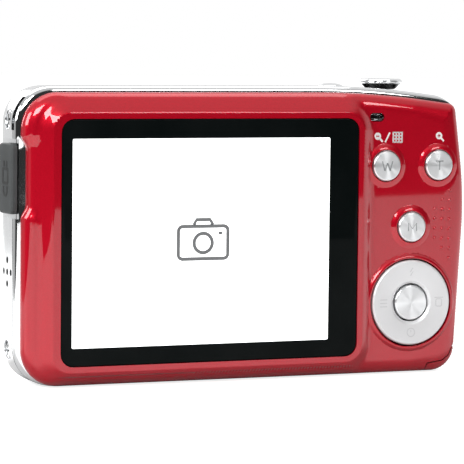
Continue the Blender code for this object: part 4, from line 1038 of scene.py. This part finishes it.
def dotMesh():
    # Every dot is a cap of a sphere on the red skin: rows of rings r = R sin t at height h cos t.
    rows, n = dots["rings"], dots["around"]
    t, a = np.meshgrid(np.linspace(0, pi / 2, rows), np.linspace(0, 2 * pi, n, endpoint=False), indexing="ij")
    size = [dots["radius"], dots["radius"], dots["rise"]]
    ring = np.stack([np.sin(t) * np.cos(a), np.sin(t) * np.sin(a), np.cos(t)], -1) * size
    ring = np.concatenate([ring, ring[-1:] * [1, 1, 0] - [0, 0, 0.3]]).reshape(-1, 3)
    x, z = dots["first"]
    spots = np.array([(x + dots["pitch"][0] * c, z - dots["drop"] * c - dots["pitch"][1] * k)
                      for c, count in enumerate(dots["columns"]) for k in range(count)])
    shift = np.column_stack([spots[:, 0], coverHeight(spots), spots[:, 1]])
    points = (ring[None, :, [0, 2, 1]] + shift[:, None, :]).reshape(-1, 3)
    starts = len(ring) * np.arange(len(spots))
    under = np.arange(rows * n, (rows + 1) * n)
    faces = (gridFaces(rows + 1, n)[None] + starts[:, None, None]).reshape(-1, 4).tolist()
    faces += (under[None] + starts[:, None]).tolist()
    mesh = newMesh("thumbDots", points, faces)
    tidyMesh(mesh, 1e-8)
    return mesh


addPiece("thumbDots", dotMesh(), red, "body", smooth=50, slot="back_cover")
print("marks made")


# Top: shutter and power buttons

shutterLow, shutterHigh = boxMm("shutter_button")
shutterR = (shutterHigh[0] - shutterLow[0]) / 2
top = shutterHigh[2]
addPiece("shutterCap", turnedMesh("shutterCap", [
    (0, top - 0.2, 0), (2.8, top - 0.18, 0.3), (3.3, top, 0.25), (shutterR - 0.35, top - 0.03, 0.3),
    (shutterR, top - 0.5, 0.35), (shutterR - 0.2, top - 0.95, 0.2), (2.9, top - 2.1, 0.3),
    (1.6, top - 2.1, 0),
    (1.6, shutterLow[2] + 0.06, 0), (0, shutterLow[2] + 0.06, 0)], withoutZ(shutterCentre), "Z", 120),
    spunLook("shutterMetal", shutterCentre, "Z", 0.16, (0.87, 0.88, 0.89), aniso=0.75), "shutter",
    "shutter_button", smooth=45)
powerLow, powerHigh = boxMm("power_button")
top = powerHigh[2]
addPiece("powerCap", turnedMesh("powerCap", [
    (0, top, 0), (1.5, top - 0.1, 0.8), (2.6, top - 0.5, 0.3), (2.6, top - 1.9, 0), (3.2, top - 1.9, 0),
    (3.2, top - 2.3, 0),
    (1.2, top - 2.3, 0), (1.2, powerLow[2], 0), (0, powerLow[2], 0)], withoutZ(powerCentre), "Z", 72),
    chrome, "power", "power_button", smooth=45)
print("top made")


# +X side: port cover, screws, strap bar

usb = {"thick": 1.1, "radius": 1.1, "edge": 0.35, "reach": 6.9}
lean = Matrix.Translation(Vector((half - scoopPlace["depth"], rim,
                                  0)) * mm) @ Matrix.Rotation(scoopPlace["lean"], 4, "Z")
usbY = (trimBack - usb["reach"] - rim, trimBack - 0.3 - rim)
usbZ = (usbLow[2], usbHigh[2])
usbTop = 0.3 + usb["thick"]
padShape = rectAt(np.array((0, usbY[0], usbZ[0])), np.array((0, usbY[1], usbZ[1])), usb["radius"], (1, 2))
addPiece("portCover", roundedSlab("portCover", padShape, edgeRound(0.3, usbTop, usb["edge"], 7), "X", lean),
         rubber, "port_cover", "usb_cover", smooth=40)
plugMiddle = np.array((0, rim - plug["front"], (usbZ[0] + usbZ[1]) / 2))
plugHalf = np.array((0, plug["width"], plug["height"])) / 2
addPiece("portPlug", roundedSlab("portPlug",
                                 rectAt(plugMiddle - plugHalf, plugMiddle + plugHalf, 0.6, (1, 2)),
                                 edgeRound(half - 0.5, half - plug["depth"], 0.4), "X"), rubber, "port_cover",
                                 smooth=40,
         slot="usb_cover")


def leanPlace(y, z):
    # Rotation by the lean, then the shift out to the side, worked out in millimetres.
    c, s = np.cos(scoopPlace["lean"]), np.sin(scoopPlace["lean"])
    def place(p):
        out, across = usbTop + p[:, 2], y - p[:, 0]
        return np.column_stack([half - scoopPlace["depth"] + c * out - s * across, rim + s * out + c * across,
                                z + p[:, 1]])
    return place


usbMid = (usbY[0] + usbY[1]) / 2
plugMark = [line(-0.65, 3.4, -0.65, 2.3, 0.6), line(0.65, 3.4, 0.65, 2.3, 0.6),
            loopStroke(roundedRect(-1.2, 1.2, -0.9, 1.9, 0.35, 4), 0.58),
            (np.array([(-0.85, -1.5), (-0.85, -2.6), (-0.4, -3.2), (0.4, -3.2), (0.85, -2.6), (0.85, -1.5)]),
             0.6, False)]
addPiece("portMark", inkMesh("portMark", plugMark, leanPlace(usbMid, (usbZ[0] + usbZ[1]) / 2), 0.05),
         rubberDark,
         "port_cover", smooth=None, slot="usb_cover")


def screwMesh(name, axis, way, at):
    # A domed head with a cross sunk into it, then the shank.
    edge, shank, foot = screw["head"], screw["shank"], screw["length"] * way
    path = [(0, 0.0, 0), (0.9, 0.04 * way, 0.3), (edge, 0.22 * way, 0.2), (edge, 0.6 * way, 0),
            (shank, 0.6 * way, 0),
            (shank, foot, 0), (0, foot, 0)]
    head = turnedMesh(name, path, at, axis, 48)
    arm, width = screw["cross"]
    plus = np.array([(arm, -width), (arm, width), (width, width), (width, arm), (-width, arm),
                     (-width, width),
                     (-arm, width), (-arm, -width), (-width, -width), (-width, -arm), (width, -arm),
                     (width, -width)])
    grid = np.stack([np.column_stack([np.full(12, h), plus]) for h in (-0.5, 0.5)]).reshape(-1, 3)
    grid = grid if axis == "X" else grid[:, [1, 2, 0]]
    faces = gridFaces(2, 12).tolist() + [list(range(12)), list(range(12, 24))]
    cutter = newMesh("crossCutter", grid + np.asarray(at), faces)
    tidyMesh(cutter)
    return carve(head, [cutter])


screwPlaces = {"side_screw_upper": ("X", -1, sideSeats[0]), "side_screw_lower": ("X", -1, sideSeats[1]),
               "base_screw_outer": ("Z", 1, baseSeats[0]), "base_screw_inner": ("Z", 1, baseSeats[1])}
for name, place in screwPlaces.items():
    addPiece(name.replace("_screw", "Screw"), screwMesh(name, *place), chrome, "body", name, smooth=35)
barLow, barHigh = boxMm("strap_bar")
addPiece("strapBar", turnedMesh("strapBar", [
    (0, barLow[1], 0), (0.5, barLow[1], 0.1), (0.5, barHigh[1], 0.1), (0, barHigh[1], 0)],
    withoutY(barCentre), "Y", 32), chrome, "body", "strap_bar", smooth=40)
print("side made")


# Tripod bush with its thread

bush = {"pitch": 1.27, "bore": 3.22, "thread": 0.42}


def bushMesh():
    # The bore's radius follows a saw-tooth round the turns: r = bore + thread * tri(z / pitch - angle / 2 pi).
    low, high = boxMm("tripod_socket")
    n, rows = 72, 90
    angle = np.linspace(0, 2 * pi, n, endpoint=False)[None, :]
    z = np.linspace(low[2] + 0.5, high[2] - 1.1, rows)[:, None]
    turnPart = (z / bush["pitch"] - angle / (2 * pi)) % 1.0
    r = bush["bore"] + bush["thread"] * (1 - np.abs(2 * turnPart - 1))
    bore = np.stack([r * np.cos(angle), r * np.sin(angle), np.broadcast_to(z, r.shape)], -1)
    ring = lambda radius, height: np.stack([radius * np.cos(angle), radius * np.sin(angle),
                                            np.full((1, n), height)], -1)
    grid = np.concatenate([ring(3.9, low[2]), ring(3.65, low[2] + 0.3), bore, ring(3.2, high[2] - 1.0),
                           ring(1e-6, high[2] - 1.0),
                           ring(1e-6, high[2]), ring(4.3, high[2]), ring(4.3, low[2] + 0.15),
                           ring(4.15, low[2])])
    mesh = newMesh("tripodBush", (grid + [tripodCentre[0], tripodCentre[1], 0]).reshape(-1, 3),
                   gridFaces(len(grid), n, True))
    tidyMesh(mesh, 1e-8)
    return mesh


addPiece("tripodBush", bushMesh(), steel, "body", "tripod_socket", smooth=30)
print("base made")


# Floor, light and camera

def stagePlane(name, size, at, look, turn=0.0):
    points = np.array([(-1, -1, 0), (1, -1, 0), (1, 1, 0), (-1, 1, 0)]) * [*size, 0] / 2
    points = points @ np.array(Matrix.Rotation(-turn, 3, "Z")) + np.asarray(at)
    mesh = bpy.data.meshes.new(name)
    mesh.from_pydata([tuple(p) for p in points], [], [(0, 1, 2, 3)])
    mesh.materials.append(look)
    plane = bpy.data.objects.new(name, mesh)
    bpy.context.scene.collection.objects.link(plane)


# The floor glows only for the view and for mirrors, and that glow stops under the object, so the lowest
# edges stay dark.
contact = {"near": 0.0135, "far": 0.019, "dark": 0.0, "bright": 0.66, "seen": 0.8}
floorPlace = {"size": (6.0, 4.0), "at": (-3.104, -0.779, -0.0002), "turn": radians(-15)}
floorLook, floorTree, floorShader = newLook("paleFloor", Roughness=0.6)
noiseInto(floorTree, floorShader, "Base Color", objectCoords(floorTree), 3.0, (0.44, 0.44, 0.44),
          (0.47, 0.47, 0.47))
away = addNode(floorTree, "ShaderNodeVectorMath", {0: objectCoords(floorTree, (0.12, 1, 1), (0, 0.002, 0))},
               operation="LENGTH").outputs["Value"]
glow = mapRange(floorTree, away, contact["near"], contact["far"], contact["dark"], contact["bright"])
ray = addNode(floorTree, "ShaderNodeLightPath").outputs
mirrored = maths(floorTree, "MULTIPLY", ray["Is Glossy Ray"], glow)
seen = maths(floorTree, "MULTIPLY", ray["Is Camera Ray"], contact["seen"])
setInputs(floorTree, floorShader, {"Emission Color": (1, 1, 1, 1),
                                   "Emission Strength": maths(floorTree, "MAXIMUM", mirrored, seen)})
stagePlane("floor", floorPlace["size"], floorPlace["at"], floorLook, floorPlace["turn"])


def softLight(name, at, size, power):
    data = bpy.data.lights.new(name, "AREA")
    data.shape = "RECTANGLE"
    data.size, data.size_y = size
    data.energy = power
    lamp = bpy.data.objects.new(name, data)
    lamp.location = at
    lamp.rotation_euler = (Vector((0, 0, 0.03)) - Vector(at)).to_track_quat("-Z", "Y").to_euler()
    bpy.context.scene.collection.objects.link(lamp)


softLight("keyLight", (0.95, 0.25, 0.45), (0.5, 0.5), 6.5)
softLight("cornerBox", (0.4, 0.75, 0.56), (0.42, 0.3), 4.5)
softLight("rollBox", (-0.36, 0.8, 0.52), (0.3, 0.2), 1.4)
softLight("topLight", (0, -0.15, 1.0), (1.0, 0.6), 3)
softLight("frontLight", (0.2, -0.8, 0.5), (0.6, 0.6), 2.5)
studio = {"edge": (0.02, 0.3), "ceiling": (0.5, 0.75), "side": (0.25, 0.75), "far": 0.55, "dark": 0.03,
          "dim": 0.6,
          "sweep": 0.78, "strength": 1.0}


def studioWorld():
    # A white sweep behind the object and a dark room with a dim ceiling on the other side; only what
    # mirrors in the object sees the difference, the view itself always falls on white.
    world = bpy.data.worlds.new("studio")
    bpy.context.scene.world = world
    world.use_nodes = True
    tree = world.node_tree
    coords = addNode(tree, "ShaderNodeTexCoord")
    way = addNode(tree, "ShaderNodeSeparateXYZ", {"Vector": coords.outputs["Generated"]}).outputs

    def ramp(axis, ends, low, high):
        return mapRange(tree, way[axis], *ends, low, high, interpolation_type="SMOOTHSTEP")

    behind = ramp("Y", studio["edge"], studio["sweep"], 0.0)
    ceiling = ramp("Z", studio["ceiling"], studio["dark"], studio["dim"])
    dimmed = maths(tree, "MULTIPLY", behind, ramp("X", studio["side"], 1.0, studio["far"]))
    room = maths(tree, "MAXIMUM", dimmed, ceiling)
    ray = addNode(tree, "ShaderNodeLightPath").outputs
    setInputs(tree, tree.nodes["Background"], {"Color": maths(tree, "MAXIMUM", room, ray["Is Camera Ray"]),
                                               "Strength": studio["strength"]})


studioWorld()
bpy.context.scene.view_settings.view_transform = "Standard"

# The camera stands off the middle of the screen, in millimetres, and turns in degrees.
view = {"off": (182.95, 468.17, 40.6), "turn": (85.6, -0.598, 158.066), "lens": 199.57}
cameraData = bpy.data.cameras.new("camera")
cameraData.lens, cameraData.sensor_width = view["lens"], 36
camera = bpy.data.objects.new("camera", cameraData)
camera.location = (np.array([screenX, back, screenZ]) + view["off"]) * mm
camera.rotation_euler = [radians(angle) for angle in view["turn"]]
bpy.context.scene.collection.objects.link(camera)
bpy.context.scene.camera = camera
